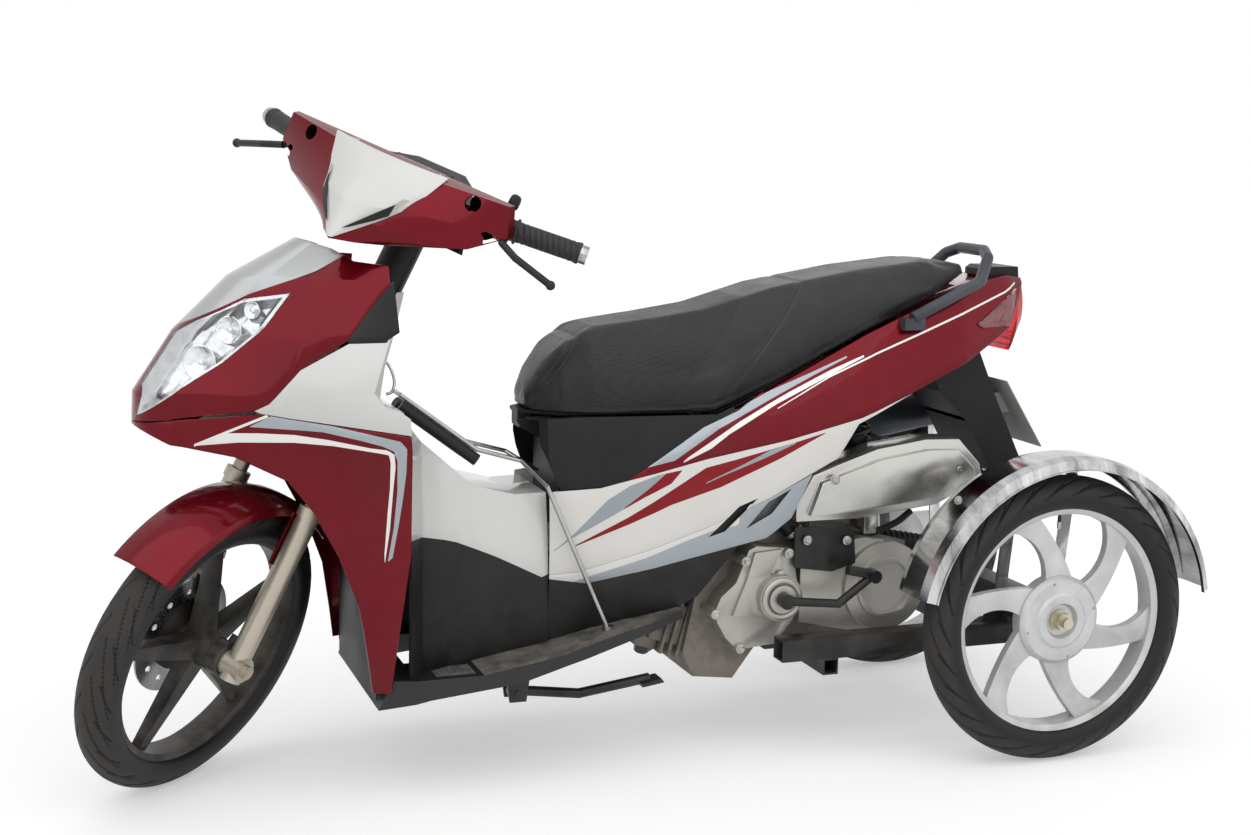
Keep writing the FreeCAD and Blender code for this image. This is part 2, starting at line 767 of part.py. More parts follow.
def pocket_side_outline(gap):
    """Dark side panel between the cowl's wing and the white leg shield."""
    upper = [(x, z - gap) for x, z in cowl_edge[3:]]
    return [(x, z + gap) for x, z in reversed(pocket_line)] + upper


# cover round the steering column, on the rider's side: station behind the axle, height
hump_back = ((-345, 625), (-317, 668), (-325, 720), (-342, 780), (-359, 850))
hump_front = ((-290, 850), (-280, 800), (-235, 690))
hump_half = 33.0
pocket_x = wheelbase - 311.0
pocket_size = (66.0, 52.0, 76.0)
pocket_place = (58.0, 796.0)    # inner side, floor


def hump(inset):
    """Prism round the steering column; the inner one runs out above and below."""
    back = [(wheelbase + x + inset, z) for x, z in hump_back]
    front = [(wheelbase + x + 40, z) for x, z in hump_front]
    if inset:
        back = [(back[0][0], back[0][1] - 60)] + back + [(back[-1][0], back[-1][1] + 20)]
        front = [(front[0][0], front[0][1] + 20)] + front + [(front[-1][0], 565)]
    return side_plate(back + front, inset - hump_half, hump_half - inset)


def pocket_block(grow):
    """Outside of the left glove pocket."""
    length, width, height = pocket_size
    y, z = pocket_place
    return box(pocket_x - 30, pocket_x + length + grow, y - grow, y + width + grow, z - grow,
               z + height + grow)


def throat_room():
    """Room in which the throat of the bars turns."""
    return rod(on_fork(0, 0, throat_low - 6), on_fork(0, 0, throat_low + 150), throat_radius + 6)


def pocket_side_room():
    """Cutter that keeps the leg shield's back wall inside the dark side panels."""
    block = side_plate([(wheelbase + x, z) for x, z in pocket_side_outline(0)], 100, 320)
    return Part.makeCompound([block, mirrored(block)])


def leg_cover():
    """White leg shield with the column's hump, and the tunnel top, one moulding."""
    side = front_panel(leg_shield_outline(seam))
    back_line = [(wheelbase + x, z) for x, z in shield_back]
    low_line = back_line[:-1]
    outline = low_line + [(x + wall, z) for x, z in reversed(low_line)]
    back = side_plate(outline, -300, 300).common(front_form(0)).cut(above_nose())
    foot = side_plate(outline, -120, 120).common(box(0, wheelbase - 325, -120, 120, 600, 668))
    back = back.cut(pocket_side_room()).fuse(foot)
    top_line = [(wheelbase - 335, 700), (wheelbase - 335, 452), (1071, 425), (999, 394),
                (917, 353), (tunnel_end, 358), (tunnel_end, 700)]
    body = joined([side, back, tunnel_panel(top_line)]).cut(hump(wall))
    body = body.cut(pocket_block(0.3)).cut(mirrored(pocket_block(0.3)))
    ahead = side_plate([(x + wall, z) for x, z in back_line]
                       + [(wheelbase, 930), (wheelbase, 600)], -300, 300)
    return joined([body, hump(0).cut(hump(wall)).cut(ahead)]).cut(throat_room())


def tunnel_sides():
    """Black lower sides of the tunnel, down to the floor."""
    outline = [(wheelbase - 335, 452 - seam), (1071, 425 - seam), (999, 394 - seam),
               (917, 353 - seam), (tunnel_end, 358 - seam), (tunnel_end, 206),
               (wheelbase - 335, 206)]
    return tunnel_panel(outline).cut(floor_slab())


# side-view lines of the rear bodywork
red_top = ((771, 523), (627, 613), (560, 640), (473, 696), (315, 769), (183, 828), (79, 862),
           (-30, 892), (-70, 880))
red_bottom = ((-70, 862), (-62, 856), (-14, 772), (92, 717), (217, 664), (325, 623), (469, 588), (625, 558))
white_bottom = ((332, 612), (374, 551), (512, 484), (628, 435), (742, 396), (853, 363),
                (tunnel_end, 358))
fin_bottom = ((425, 524), (463, 445), (511, 411), (628, 386), (743, 361), (840, 341),
              (tunnel_end, 350))


vent_outlines = (
    ((622, 418), (566, 472), (530, 486), (592, 427)),
    ((552, 430), (511, 478), (466, 500), (504, 456)),
)


def side_covers():
    """White side covers, left and right."""
    outline = (list(white_bottom) + [(tunnel_end, 505), (817, 511), (771, 523 - seam)]
               + [(x, z - seam) for x, z in reversed(red_bottom[4:])])
    return rear_panel(outline).cut(vent_slots())


def side_fins():
    """Bright strip along the lower edge of each side cover."""
    upper = [(x, z - seam) for x, z in white_bottom[2:]]
    outline = upper + [(x, z) for x, z in reversed(fin_bottom)]
    return rear_panel(outline).cut(vent_slots())


def vent_slots():
    """Two slanted openings at the back of the side covers."""
    return joined([side_plate(list(slot), -300, 300) for slot in vent_outlines])


def lower_sides():
    """Black covers below the fins, in front of the engine."""
    outline = [(x, z - seam) for x, z in fin_bottom[1:]]
    floor = [(x, z + 0.3) for x, z in floor_top[3:]]
    outline = [(566, 398)] + outline[2:] + [(tunnel_end, floor_height(tunnel_end) + 0.3)] + floor
    return rear_panel(outline + [(634, 306)])


def seat_skirt():
    """Black panel under the front of the seat."""
    outline = [(929, 612), (918, 590), (901, 544), (886, 508 + seam), (817, 512 + seam),
               (771, 523 + seam), (627, 613 + seam), (566, 640), (566, 660), (929, 660)]
    return rear_panel(outline)


def tail_cover():
    """Painted side and tail cover, one moulding round the back."""
    outline = list(red_top) + list(red_bottom)
    return rear_panel(outline)


# ---------------------------------------------------------------- floor
floor_half = 198.0
floor_rim = 8.0
floor_plate = 5.0
mat_height = 1.5
# side view of the floorboard: station, top of the rim
floor_top = ((wheelbase - 306, 212), (1050, 212), (908, 235), (835, 256), (761, 272), (668, 289))
floor_depth = ((wheelbase - 282, 160), (wheelbase - 368, 176), (979, 192), (889, 218),
               (742, 258), (664, 272))


def floor_plan():
    """Plan outline of the floor."""
    front = wheelbase - 282
    plan = [(front, 178), (front - 60, floor_half), (860, floor_half), (740, 184), (660, 150)]
    return plan + [(x, -y) for x, y in reversed(plan)]


def floor_slab():
    """Solid form of the floor before it is hollowed."""
    outline = list(floor_top) + [(x, z) for x, z in reversed(floor_depth)]
    slab = side_plate(outline, -floor_half, floor_half)
    return slab.common(plan_plate(floor_plan(), 100, 400))


def floorboard():
    """Moulded floor: a tray on each side of the tunnel, joined across the front."""
    slot = [(wheelbase - 345, 90), (800, 90), (775, 128), (600, 128)]
    slot = plan_plate(slot + [(x, -y) for x, y in reversed(slot)], 100, 400)
    slab = floor_slab().cut(slot)
    inner = [(x - 12, z - floor_plate) for x, z in floor_top[:1]]
    inner += [(x, z - floor_plate) for x, z in floor_top[1:-1]] + [(690, 285 - floor_plate)]
    inner += [(690, 200), (wheelbase - 318, 100)]
    under = side_plate(inner, 98, floor_half - floor_rim)
    under = under.common(plan_plate([(x, y * 0.95) for x, y in floor_plan()], 50, 400))
    mat = plan_plate([(1056, 128), (1090, 131), (1126, 150), (1126, 182), (1056, 182)],
                     floor_top[1][1] - 1, floor_top[1][1] + mat_height)
    return joined([slab.cut(under).cut(mirrored(under)), mat, mirrored(mat)])


def floor_height(x):
    """Height of the floor's top at a station."""
    for (xa, za), (xb, zb) in zip(floor_top, floor_top[1:]):
        if xb <= x <= xa:
            return za + (zb - za) * (xa - x) / (xa - xb)
    return floor_top[0][1]


def inner_liner():
    """Black liner behind the front wheel, from the floor up between the shield's halves."""
    line = [(wheelbase - 281, 172), (wheelbase - 283, 300), (wheelbase - 296, 430),
            (wheelbase - 296, 560), (wheelbase - 270, 640)]
    outline = line + [(x - wall, z + 1) for x, z in reversed(line)]
    limit = front_form(wall + seam).fuse(box(wheelbase - 300, wheelbase - 200, -160, 160, 150, 200))
    sweep = rod(on_fork(0, 0, 400), on_fork(0, 0, 800), yoke_reach + 6)
    return side_plate(outline, -166, 166).common(limit).cut(sweep)


def pocket_link():
    """Web between a pocket and its side panel."""
    length, width, height = pocket_size
    y, z = pocket_place
    web = box(pocket_x + 6, pocket_x + 40, y + width - 1, 200, z + 20, z + 20 + wall)
    return web.common(front_form(wall - 0.5))


def glove_pockets():
    """Open pocket on each side of the steering column, set in the leg shield."""
    length, width, height = pocket_size
    y, z = pocket_place
    outer = box(pocket_x, pocket_x + length, y, y + width, z, z + height)
    inner = box(pocket_x - 5, pocket_x + length - wall, y + wall, y + width - wall, z + wall,
                z + height - wall)
    side = front_panel(pocket_side_outline(seam)).common(box(0, 3000, 0, 400, 0, 2000))
    return both_sides(joined([outer.cut(inner), side, pocket_link()]))


# ---------------------------------------------------------------- frame
spine_radius = 20.0
rail_radius = 11.0
rail_spread = 107.0
rear_cross = (300.0, 698.0)     # cross tube that carries the shock absorber
cross_radius = 11.0


def spine_line():
    """Corners of the down tube and the spine, from the head to the engine."""
    return [V(x, 0, z) for x, z in ((wheelbase - 300, 640), (1172, 550), (1095, 330),
                                    (1040, 266), (940, 246), (752, 256))]


def main_frame():
    """Steel frame: head tube, down tube, spine, two seat rails and their cross tubes."""
    head = rod(on_fork(0, 0, head_bottom), on_fork(0, 0, head_top), head_bore + head_wall)
    neck = on_fork(-3, 0, head_bottom + 46)
    down = bent_rod([neck] + spine_line(), spine_radius, 50)
    rails = []
    for s in (-1, 1):
        rails += runs([V(770, 0, 256), V(742, s * rail_spread, 272), V(672, s * rail_spread, 300),
                       V(640, s * rail_spread, 430), V(540, s * 102, 590),
                       V(rear_cross[0], s * 86, rear_cross[1]), V(60, s * 56, 808)], rail_radius)
    cross = [rod(V(x, -w, z), V(x, w, z), cross_radius)
             for x, z, w in ((600, 494, 104), rear_cross + (88,), (100, 789, 62))]
    bore = rod(on_fork(0, 0, head_bottom - 10), on_fork(0, 0, head_top + 10), head_bore)
    return joined([head, down] + rails + cross).cut(bore)


# ---------------------------------------------------------------- seat
hinge_x = 926.0
hinge_z = 616.0
hinge_pin = 5.0
lug_half = 18.0
# cushion: station, underside, half width below, widest height, half width, crown, half width
seat_sections = (
    (934, 648, 26, 660, 34, 676, 22),
    (914, 638, 56, 664, 66, 712, 40),
    (880, 634, 86, 690, 98, 754, 54),
    (830, 635, 104, 716, 122, 784, 66),
    (700, 638, 114, 725, 134, 800, 78),
    (600, 642, 118, 740, 138, 816, 78),
    (470, 694, 116, 780, 134, 853, 74),
    (300, 778, 108, 830, 122, 883, 68),
    (150, 838, 92, 866, 102, 900, 56),
    (72, 878, 62, 886, 66, 894, 44),
)


tub_front, tub_back = 878.0, 622.0
tub_floor, tub_rim = 430.0, 626.0
tub_half = 78.0


def storage_tub():
    """Open tub under the seat."""
    t = wall
    outer = box(tub_back, tub_front, -tub_half, tub_half, tub_floor, tub_rim)
    inner = box(tub_back + t, tub_front - t, t - tub_half, tub_half - t, tub_floor + t,
                tub_rim + 1)
    rim = box(tub_back - 6, tub_front + 6, -tub_half - 6, tub_half + 6, tub_rim - t, tub_rim)
    tub = outer.fuse(rim).cut(inner)
    ear = side_plate([(tub_front, tub_rim), (tub_front, tub_rim - 50), (hinge_x + 10, hinge_z - 8),
                      (hinge_x + 10, hinge_z + 8)], lug_half + 1, lug_half + 6)
    pin = rod(V(hinge_x, -lug_half - 6, hinge_z), V(hinge_x, lug_half + 6, hinge_z), hinge_pin)
    return joined([tub, ear, mirrored(ear), pin])


pan_thickness = 5.0
seat_gap = 0.6
# line where the cushion meets its pan, in side view
pan_line = ((944, 640), (600, 640), (470, 692), (300, 776), (150, 836), (84, 872))


def above_seat(drop):
    """Everything above the pan line, lowered by drop."""
    line = [(990, 640 - drop)] + [(x, z - drop) for x, z in pan_line[1:]] + [(66, 880 - drop)]
    return side_plate(line + [(66, 1000), (990, 1000)], -300, 300)


def seat_cushion():
    """Padded seat: low front, step up to the pillion half."""
    return body_form(seat_sections, 0).common(above_seat(0))


def pan_plan(grow):
    """Plan outline of the seat pan."""
    half = [(940, 24), (880, 78), (700, 96), (470, 98), (300, 90), (150, 74), (84, 46)]
    left = [(x, y + grow) for x, y in half]
    return left + [(x, -y) for x, y in reversed(left)]


def seat_pan():
    """Moulded pan under the cushion, with the hinge lug at its nose."""
    outline = list(pan_line) + [(x, z - pan_thickness) for x, z in reversed(pan_line)]
    pan = side_plate(outline, -120, 120)
    pan = pan.common(plan_plate(pan_plan(0), 600, 900))
    lug = side_plate([(hinge_x - 12, 640), (hinge_x - 12, hinge_z), (hinge_x - 8, hinge_z - 10),
                      (hinge_x + 8, hinge_z - 10), (hinge_x + 12, hinge_z),
                      (hinge_x + 12, 640)], -lug_half, lug_half)
    pin_hole = rod(V(hinge_x, -30, hinge_z), V(hinge_x, 30, hinge_z), hinge_pin + run_clearance)
    return joined([pan, lug]).cut(pin_hole)


# ---------------------------------------------------------------- engine unit
case_half = 92.0
cover_face = 150.0
crank_x, crank_z = 478.0, 297.0     # kick shaft, on the front of the belt cover
final_x, final_z = 255.0, 300.0     # rear pulley
engine_base = 196.0
shock_low = V(262, 48, 424)
shock_pin = 6.0


def engine_block():
    """Engine and gearcase as one block, with the sump and the cylinder leaning forward."""
    case = side_plate([(640, 190), (620, 142), (540, 132), (492, engine_base),
                       (300, engine_base), (196, 226), (190, 372), (300, 402), (470, 410),
                       (600, 380)], -case_half, case_half)
    ears = [box(shock_low.x - 14, shock_low.x + 14, min(a, b), max(a, b), 380, shock_low.z + 12)
            for a, b in ((shock_low.y - 23, shock_low.y - 16.3),
                         (shock_low.y + 16.3, shock_low.y + 23))]
    pin = rod(shock_low - V(0, 23, 0), shock_low + V(0, 23, 0), shock_pin)
    cylinder = side_plate([(560, 250), (590, 180), (700, 215), (684, 285)], -70, 70)
    fins = [side_plate([(596 + i * 16, 160 + i * 5), (602 + i * 16, 162 + i * 5),
                        (574 + i * 16, 262 + i * 5), (568 + i * 16, 260 + i * 5)], -78, 78)
            for i in range(6)]
    head_hood = side_plate([(684, 190), (724, 202), (700, 290), (664, 280)], -62, 62)
    return joined([case, cylinder, head_hood, pin] + ears + fins)


def crank_cover():
    """Cast cover over the front of the belt drive, with the kick shaft's boss."""
    y = case_half + 0.3
    plate = side_plate([(595, 278), (585, 300), (557, 324), (546, 350), (533, 384), (519, 390),
                        (459, 384), (440, 368), (440, 345), (430, 300), (440, 250), (475, 205),
                        (551, 199), (575, 224), (592, 254)], y, cover_face - 14)
    step = side_plate([(524, 380), (470, 384), (491, 343), (520, 271), (526, 263), (565, 265),
                       (540, 328)], cover_face - 20, cover_face - 6)
    boss = rod(V(crank_x, y, crank_z), V(crank_x, cover_face + 14, crank_z), 42)
    face = rod(V(crank_x, y, crank_z), V(crank_x, cover_face + 22, crank_z), 26)
    ears = [rod(V(x, y, z), V(x, cover_face - 2, z), 9)
            for x, z in ((600, 272), (543, 366), (458, 376), (471, 213), (549, 204), (473, 336))]
    bore = rod(V(crank_x, cover_face, crank_z), V(crank_x, cover_face + 40, crank_z), 9.05)
    return joined([plate, step, boss, face] + ears).cut(bore)


def belt_cover():
    """Long cast cover from behind the kick boss round the rear pulley."""
    y = case_half + 0.3
    long_plate = side_plate([(425, 372), (300, 392), (255, 386), (255, 214), (300, 212),
                             (425, 240)], y, cover_face - 22)
    round_end = rod(V(final_x, y, final_z), V(final_x, cover_face - 8, final_z), 84)
    ridge = rod(V(final_x, y, final_z), V(final_x, cover_face - 2, final_z), 60)
    hollow = rod(V(final_x, cover_face - 10, final_z), V(final_x, cover_face + 5, final_z), 48)
    return joined([long_plate, round_end, ridge]).cut(hollow)


def air_box():
    """Air filter box over the belt cover, with its snorkel."""
    y0 = 84
    outline = [(446, 434), (448, 462), (414, 520), (286, 562), (186, 576), (116, 574),
               (70, 526), (63, 495), (158, 452), (322, 434)]
    body = side_plate(outline, y0, 148)
    lid_line = [(425, 446), (402, 506), (284, 544), (186, 558), (124, 556), (88, 520),
                (86, 506), (166, 468), (322, 450)]
    lid = side_plate(lid_line, 140, 162)
    foot = [box(x, x + 26, 94, 110, 394, 440) for x in (262, 400)]
    hollow = side_plate(outline_inset(outline, 0.96), y0 + wall, 145)
    return joined([body.cut(hollow), lid] + foot)


def outline_inset(outline, share):
    """The outline drawn in towards its middle."""
    cx = sum(x for x, z in outline) / len(outline)
    cz = sum(z for x, z in outline) / len(outline)
    return [(cx + (x - cx) * share, cz + (z - cz) * share) for x, z in outline]


def exhaust():
    """Exhaust pipe under the engine and a round silencer on the right."""
    pipe = runs([V(662, -40, 215), V(662, -62, 158), V(575, -127, 168), V(420, -127, 212),
                 V(330, -127, 218), V(290, -130, 440), V(246, -168, 548)], 15)
    start = V(262, -172, 546)
    end = V(-52, -172, 598)
    run = end - start
    body = rod(start, end, 44)
    tip = rod(end - run.normalize() * 4, end + run * 26, 18)
    shield = rod(start + run * 60, start + run * 210, 48)
    keep = box(0, 300, -260, -172, 500, 700)
    hanger = box(150, 190, -150, -case_half, 380, 540)
    return main_solid(joined(pipe + [body, tip, shield.common(keep), hanger]).cut(engine_block()))


coil_wire = 5.0
coils = 5


def shock_absorber():
    """Spring and damper between the frame's cross tube and the engine unit."""
    high = V(rear_cross[0], shock_low.y, rear_cross[1])
    run = (high - shock_low).normalize()
    length = (high - shock_low).Length
    pitch = (length - 100) / coils
    parts = [rod(shock_low, high, 10), rod(shock_low + run * 40, high - run * 40, 24)]
    for i in range(coils + 1):
        middle = shock_low + run * (50 + i * pitch)
        parts.append(rod(middle - run * coil_wire, middle + run * coil_wire, 31))
    for end in (shock_low, high):
        parts.append(rod(end - V(0, 16, 0), end + V(0, 16, 0), 18))
    holes = [rod(high - V(0, 20, 0), high + V(0, 20, 0), cross_radius + run_clearance),
             rod(shock_low - V(0, 20, 0), shock_low + V(0, 20, 0), shock_pin + run_clearance)]
    return joined(parts).cut(Part.makeCompound(holes))


def kick_lever():
    """Kick starter: splined boss, arm and folded pedal."""
    y = cover_face + 24
    shaft = rod(V(crank_x, cover_face + 1, crank_z), V(crank_x, y + 18, crank_z), 9)
    boss = rod(V(crank_x, y, crank_z), V(crank_x, y + 18, crank_z), 14)
    arm = runs([V(crank_x, y + 9, crank_z), V(374, y + 12, 286), V(306, y + 12, 334)], 8)
    knuckle = rod(V(306, y - 2, 334), V(306, y + 26, 334), 12)
    pedal = rod(V(306, y + 12, 336), V(358, y + 12, 348), 9)
    return joined([shaft, boss, knuckle, pedal] + arm)


# ---------------------------------------------------------------- three-wheel kit
def square_tube(x0, x1, y, z, size):
    """Square tube running lengthwise."""
    half = size / 2
    outer = box(x0, x1, y - half, y + half, z - half, z + half)
    inner = box(x0 - 1, x1 + 1, y - half + tube_wall, y + half - tube_wall,
                z - half + tube_wall, z + half - tube_wall)
    return outer.cut(inner)


beam_half = 232.0
beam_size = 50.0


def kit_frame():
    """Welded frame of square tube that carries the axle beam, with its cross tube and posts."""
    half = tube_size / 2
    long_tubes = [square_tube(-20, 490, s * (cover_face + 32), tube_height, tube_size)
                  for s in (-1, 1)]
    cross = []
    for x, z, size in ((393, tube_height - half - 15, 30), (60, tube_height, 36)):
        h = size / 2
        reach = cover_face + 32 + (half if z < tube_height - 5 else 0)
        outer = box(x - h, x + h, -reach, reach, z - h, z + h)
        hollow = box(x - h + tube_wall, x + h - tube_wall, -reach - 1, reach + 1,
                     z - h + tube_wall, z + h - tube_wall)
        cross.append(outer.cut(hollow))
    h = beam_size / 2
    beam = box(-h, h, -beam_half, beam_half, tyre_radius - h, tyre_radius + h)
    beam = beam.cut(box(-h + 4, h - 4, -beam_half + 8, beam_half - 8, tyre_radius - h + 4,
                        tyre_radius + h - 4))
    posts = []
    for s in (-1, 1):
        y = s * (cover_face + 32)
        posts.append(box(-h, h, y - half, y + half, tube_height + half - 3, tyre_radius - h + 4))
        inner, outer = sorted((s * (cover_face + 26), s * (cover_face + 34)))
        posts.append(side_plate([(30, 290), (70, 228), (20, 228), (-20, 290)], inner, outer))
    saddle = box(300, 480, -case_half - 8, case_half + 8, tube_height - half - 4, engine_base)
    shapes = long_tubes + cross + [beam] + posts + [saddle]
    return joined(shapes)


def engine_bracket():
    """Black plate bolted across the belt cover, with two bolt heads and its standoffs."""
    plate = side_plate([(448, 424), (328, 418), (322, 350), (370, 336), (446, 348)],
                       cover_face - 8, cover_face - 3)
    stand = [rod(V(x, cover_face - 22, z), V(x, cover_face - 8, z), 8)
             for x, z in ((420, 366), (345, 366))]
    heads = [rod(V(x, cover_face - 3, z), V(x, cover_face + 4, z), 7)
             for x, z in ((425, 400), (345, 395))]
    return joined([plate] + stand + heads)


def rear_axle():
    """Stub axles bolted through the beam ends, each with washer and nut."""
    parts = []
    for s in (-1, 1):
        centre = V(0, 0, tyre_radius)
        inner = s * (beam_half - 30)
        face = s * (track / 2 + rear_hub_face - 6 + hub_gap)
        back = s * (track / 2 - rear_hub_back - hub_gap)
        shaft = rod(centre + V(0, s * beam_half, 0), centre + V(0, face + s * 30, 0), stub_radius)
        collar = rod(centre + V(0, s * beam_half, 0), centre + V(0, back, 0), 19)
        washer = rod(centre + V(0, face, 0), centre + V(0, face + s * 3, 0), 20)
        nut = Part.makePolygon([V(17 * math.cos(math.radians(a)), 0, 17 * math.sin(math.radians(a)))
                                for a in range(0, 361, 60)])
        nut = Part.Face(nut).extrude(V(0, s * 14, 0)).translated(centre + V(0, face + s * 3, 0))
        parts.append(joined([shaft, collar, washer, nut]))
    return Part.makeCompound(parts)


def rear_fender(side):
    """Chromed half-round mudguard with a turned-out lip and two straps to the frame."""
    y = side * track / 2
    w = fender_half_width
    r = fender_radius
    half = [(r, 30), (r - 5, w - 6), (r - 20, w), (r - 20, w + lip_width),
            (r - 20 - sheet, w + lip_width), (r - 20 - sheet, w - sheet),
            (r - 5 - sheet, w - 6 - sheet), (r - sheet, 29)]
    ring = revolved([(a, -b) for a, b in half[:4]][::-1] + half + [(a, -b) for a, b in half[4:]][::-1])
    keep = polygon([V(x, -100, z) for x, z in ((0, 0), (2 * r, 0.42 * r), (2 * r, 2 * r),
                                              (-2 * r, 2 * r), (-2 * r, 0.30 * r))])
    guard = ring.common(keep.extrude(V(0, 200, 0)))
    guard = guard.translated(V(0, y, tyre_radius))
    strap_y = track / 2 - w - 4
    straps = []
    for x in (-60, 60):
        rise = math.sqrt((r - 20) ** 2 - x ** 2)
        line = [(strap_y + 4, tyre_radius + rise), (strap_y + 4, tyre_radius + rise - 26),
                (beam_half, tyre_radius + 60), (beam_half, tyre_radius + beam_size / 2),
                (beam_half - 4, tyre_radius + beam_size / 2), (beam_half - 4, tyre_radius + 60),
                (strap_y, tyre_radius + rise - 24), (strap_y, tyre_radius + rise)]
        straps.append(front_plate([(side * a, b) for a, b in line], x - 12, x + 12))
    plate = box(-72, 72, min(side * (beam_half - 28), side * beam_half),
                max(side * (beam_half - 28), side * beam_half),
                tyre_radius + beam_size / 2, tyre_radius + beam_size / 2 + 4)
    return joined([guard, plate] + straps)


def rear_fenders():
    return Part.makeCompound([rear_fender(1), rear_fender(-1)])


# ---------------------------------------------------------------- tail
def tail_lamps():
    """Wedge-shaped signal lenses, one on each side of the tail."""
    outline = [(71, 785), (-40, 849), (-14, 778), (56, 777)]
    sections = ((100, 560, 88, 730, 133, 850, 95), (-22, 680, 58, 790, 91, 872, 65),
                (-64, 762, 43, 815, 65, 866, 49))
    lamp = body_form(sections, 0).common(side_plate(outline, -200, 200))
    return lamp.cut(rear_form_core)


def tail_light():
    """Rear lamp that closes the end of the tail."""
    plug = body_form(rear_sections, wall + 0.3).common(rear_form_core)
    return plug.common(box(-62, -44, -100, 100, 700, 900))


def tail_trim():
    """Dark trim on top of the tail, behind the handle."""
    block = side_plate([(8, 868), (8, 880), (-2, 887), (-57, 887), (-60, 860), (-30, 864)], -44, 44)
    return block.cut(rear_form_core)


rear_form_core = body_form(rear_sections, 0)


def seat_room():
    """Space that the cushion takes, with its gap."""
    rows = [(x, zl, wl + 5, zm, wm + 5, zt + 5, wt + 5) for x, zl, wl, zm, wm, zt, wt
            in seat_sections]
    return body_form(rows, 0)


def grab_rail():
    """Cast pillion handle: two arms that meet behind the seat in a loop."""
    half = [V(214, 127, 800), V(64, 108, 864), V(32, 78, 906), V(20, 44, 918)]
    path = half + [V(p.x, -p.y, p.z) for p in reversed(half)]
    rail = bent_rod(path, 11, 12)
    feet = [box(190, 232, min(s * 96, s * 132), max(s * 96, s * 132), 778, 800)
            for s in (-1, 1)]
    return joined([rail] + feet).cut(rear_form_core).cut(above_seat(pan_thickness + seat_gap)
                                                         .common(seat_room()))


def rear_mudguard():
    """Black flap under the tail that carries the plate."""
    outline = [(144, 700), (40, 728), (0, 640), (-60, 520), (-20, 496), (4, 496), (60, 594),
               (124, 655)]
    slab = side_plate(outline, -80, 80)
    hollow = side_plate([(140, 690), (60, 716), (20, 640), (-34, 520), (0, 490), (56, 590),
                         (118, 650)], -77, 77)
    return slab.cut(hollow)


def number_plate():
    """Blank plate on its bent bracket."""
    web = side_plate([(0, 640), (-41, 640), (-67, 600), (-20, 600)], 27, 30)
    plate = side_plate([(-21, 671), (-19, 670), (-104, 539), (-106, 540)], -85, 85)
    return joined([plate, web, mirrored(web)])


# ---------------------------------------------------------------- rack, stand, cable
rack_foot = 806.0


def carrier_rack():
    """Wire rack over the tunnel, clamped to the frame, on a thin rod that stands on the floor."""
    wires = []
    for s in (-1, 1):
        wires += runs([V(1150, s * 20, 672), V(1020, s * 48, 575), V(940, s * 52, 552),
                       V(905, s * 30, 530)], 4)
    cross = [rod(V(x, -w, z), V(x, w, z), 4)
             for x, w, z in ((1020, 48, 575), (905, 30, 530), (1150, 20, 672))]
    floor = floor_height(rack_foot)
    leg = runs([V(940, 52, 552), V(916, 130, 520), V(rack_foot, 150, floor - 3)], 4)
    foot = rod(V(rack_foot, 150, floor - 3), V(rack_foot, 150, floor + 6), 10)
    rack = joined(wires + cross + leg + [foot])
    return rack.cut(floor_slab().translated(V(0, 0, 0.3))).cut(hump(0).translated(V(-0.3, 0, 0)))


pad_radius = 11.0


def rack_pads():
    """Two padded tubes that lie under the rack's wires."""
    drop = V(0, 0, -(pad_radius + 4.3) / math.cos(math.atan2(97, 130)))
    pads = [rod(V(1150, s * 20, 672) + drop, V(1020, s * 48, 575) + drop, pad_radius)
            for s in (-1, 1)]
    return Part.makeCompound(pads)


stand_x, stand_y, stand_z = 965.0, 112.0, 152.0
stand_pin = 6.0


def side_stand():
    """Side stand, folded back under the floor."""
    eye = rod(V(stand_x, stand_y - 9, stand_z), V(stand_x, stand_y + 9, stand_z), 15)
    leg = runs([V(stand_x - 8, stand_y, stand_z), V(850, stand_y + 10, 140),
                V(722, stand_y + 14, 158)], 9)
    foot = side_plate([(736, 146), (738, 152), (700, 160), (694, 152)], stand_y - 4,
                      stand_y + 30)
    bore = rod(V(stand_x, stand_y - 20, stand_z), V(stand_x, stand_y + 20, stand_z),
               stand_pin + run_clearance)
    return joined([eye, foot] + leg).cut(bore)


def stand_bracket():
    """Fork under the floor that holds the side stand's pin."""
    pin = rod(V(stand_x, stand_y - 24, stand_z), V(stand_x, stand_y + 22, stand_z), stand_pin)
    shape = [(stand_x - 15, stand_z - 15), (stand_x + 15, stand_z - 15), (stand_x + 22, 188),
             (stand_x - 22, 188)]
    ears = [side_plate(shape, y, y + 6) for y in (stand_y - 20, stand_y + 14)]
    top = box(stand_x - 22, stand_x + 22, 20, stand_y + 20, 182, 188)
    post = rod(V(stand_x, 30, 184), V(stand_x, 30, 250), 12)
    return joined([pin, top, post] + ears).cut(bent_rod(spine_line()[1:], spine_radius, 50))


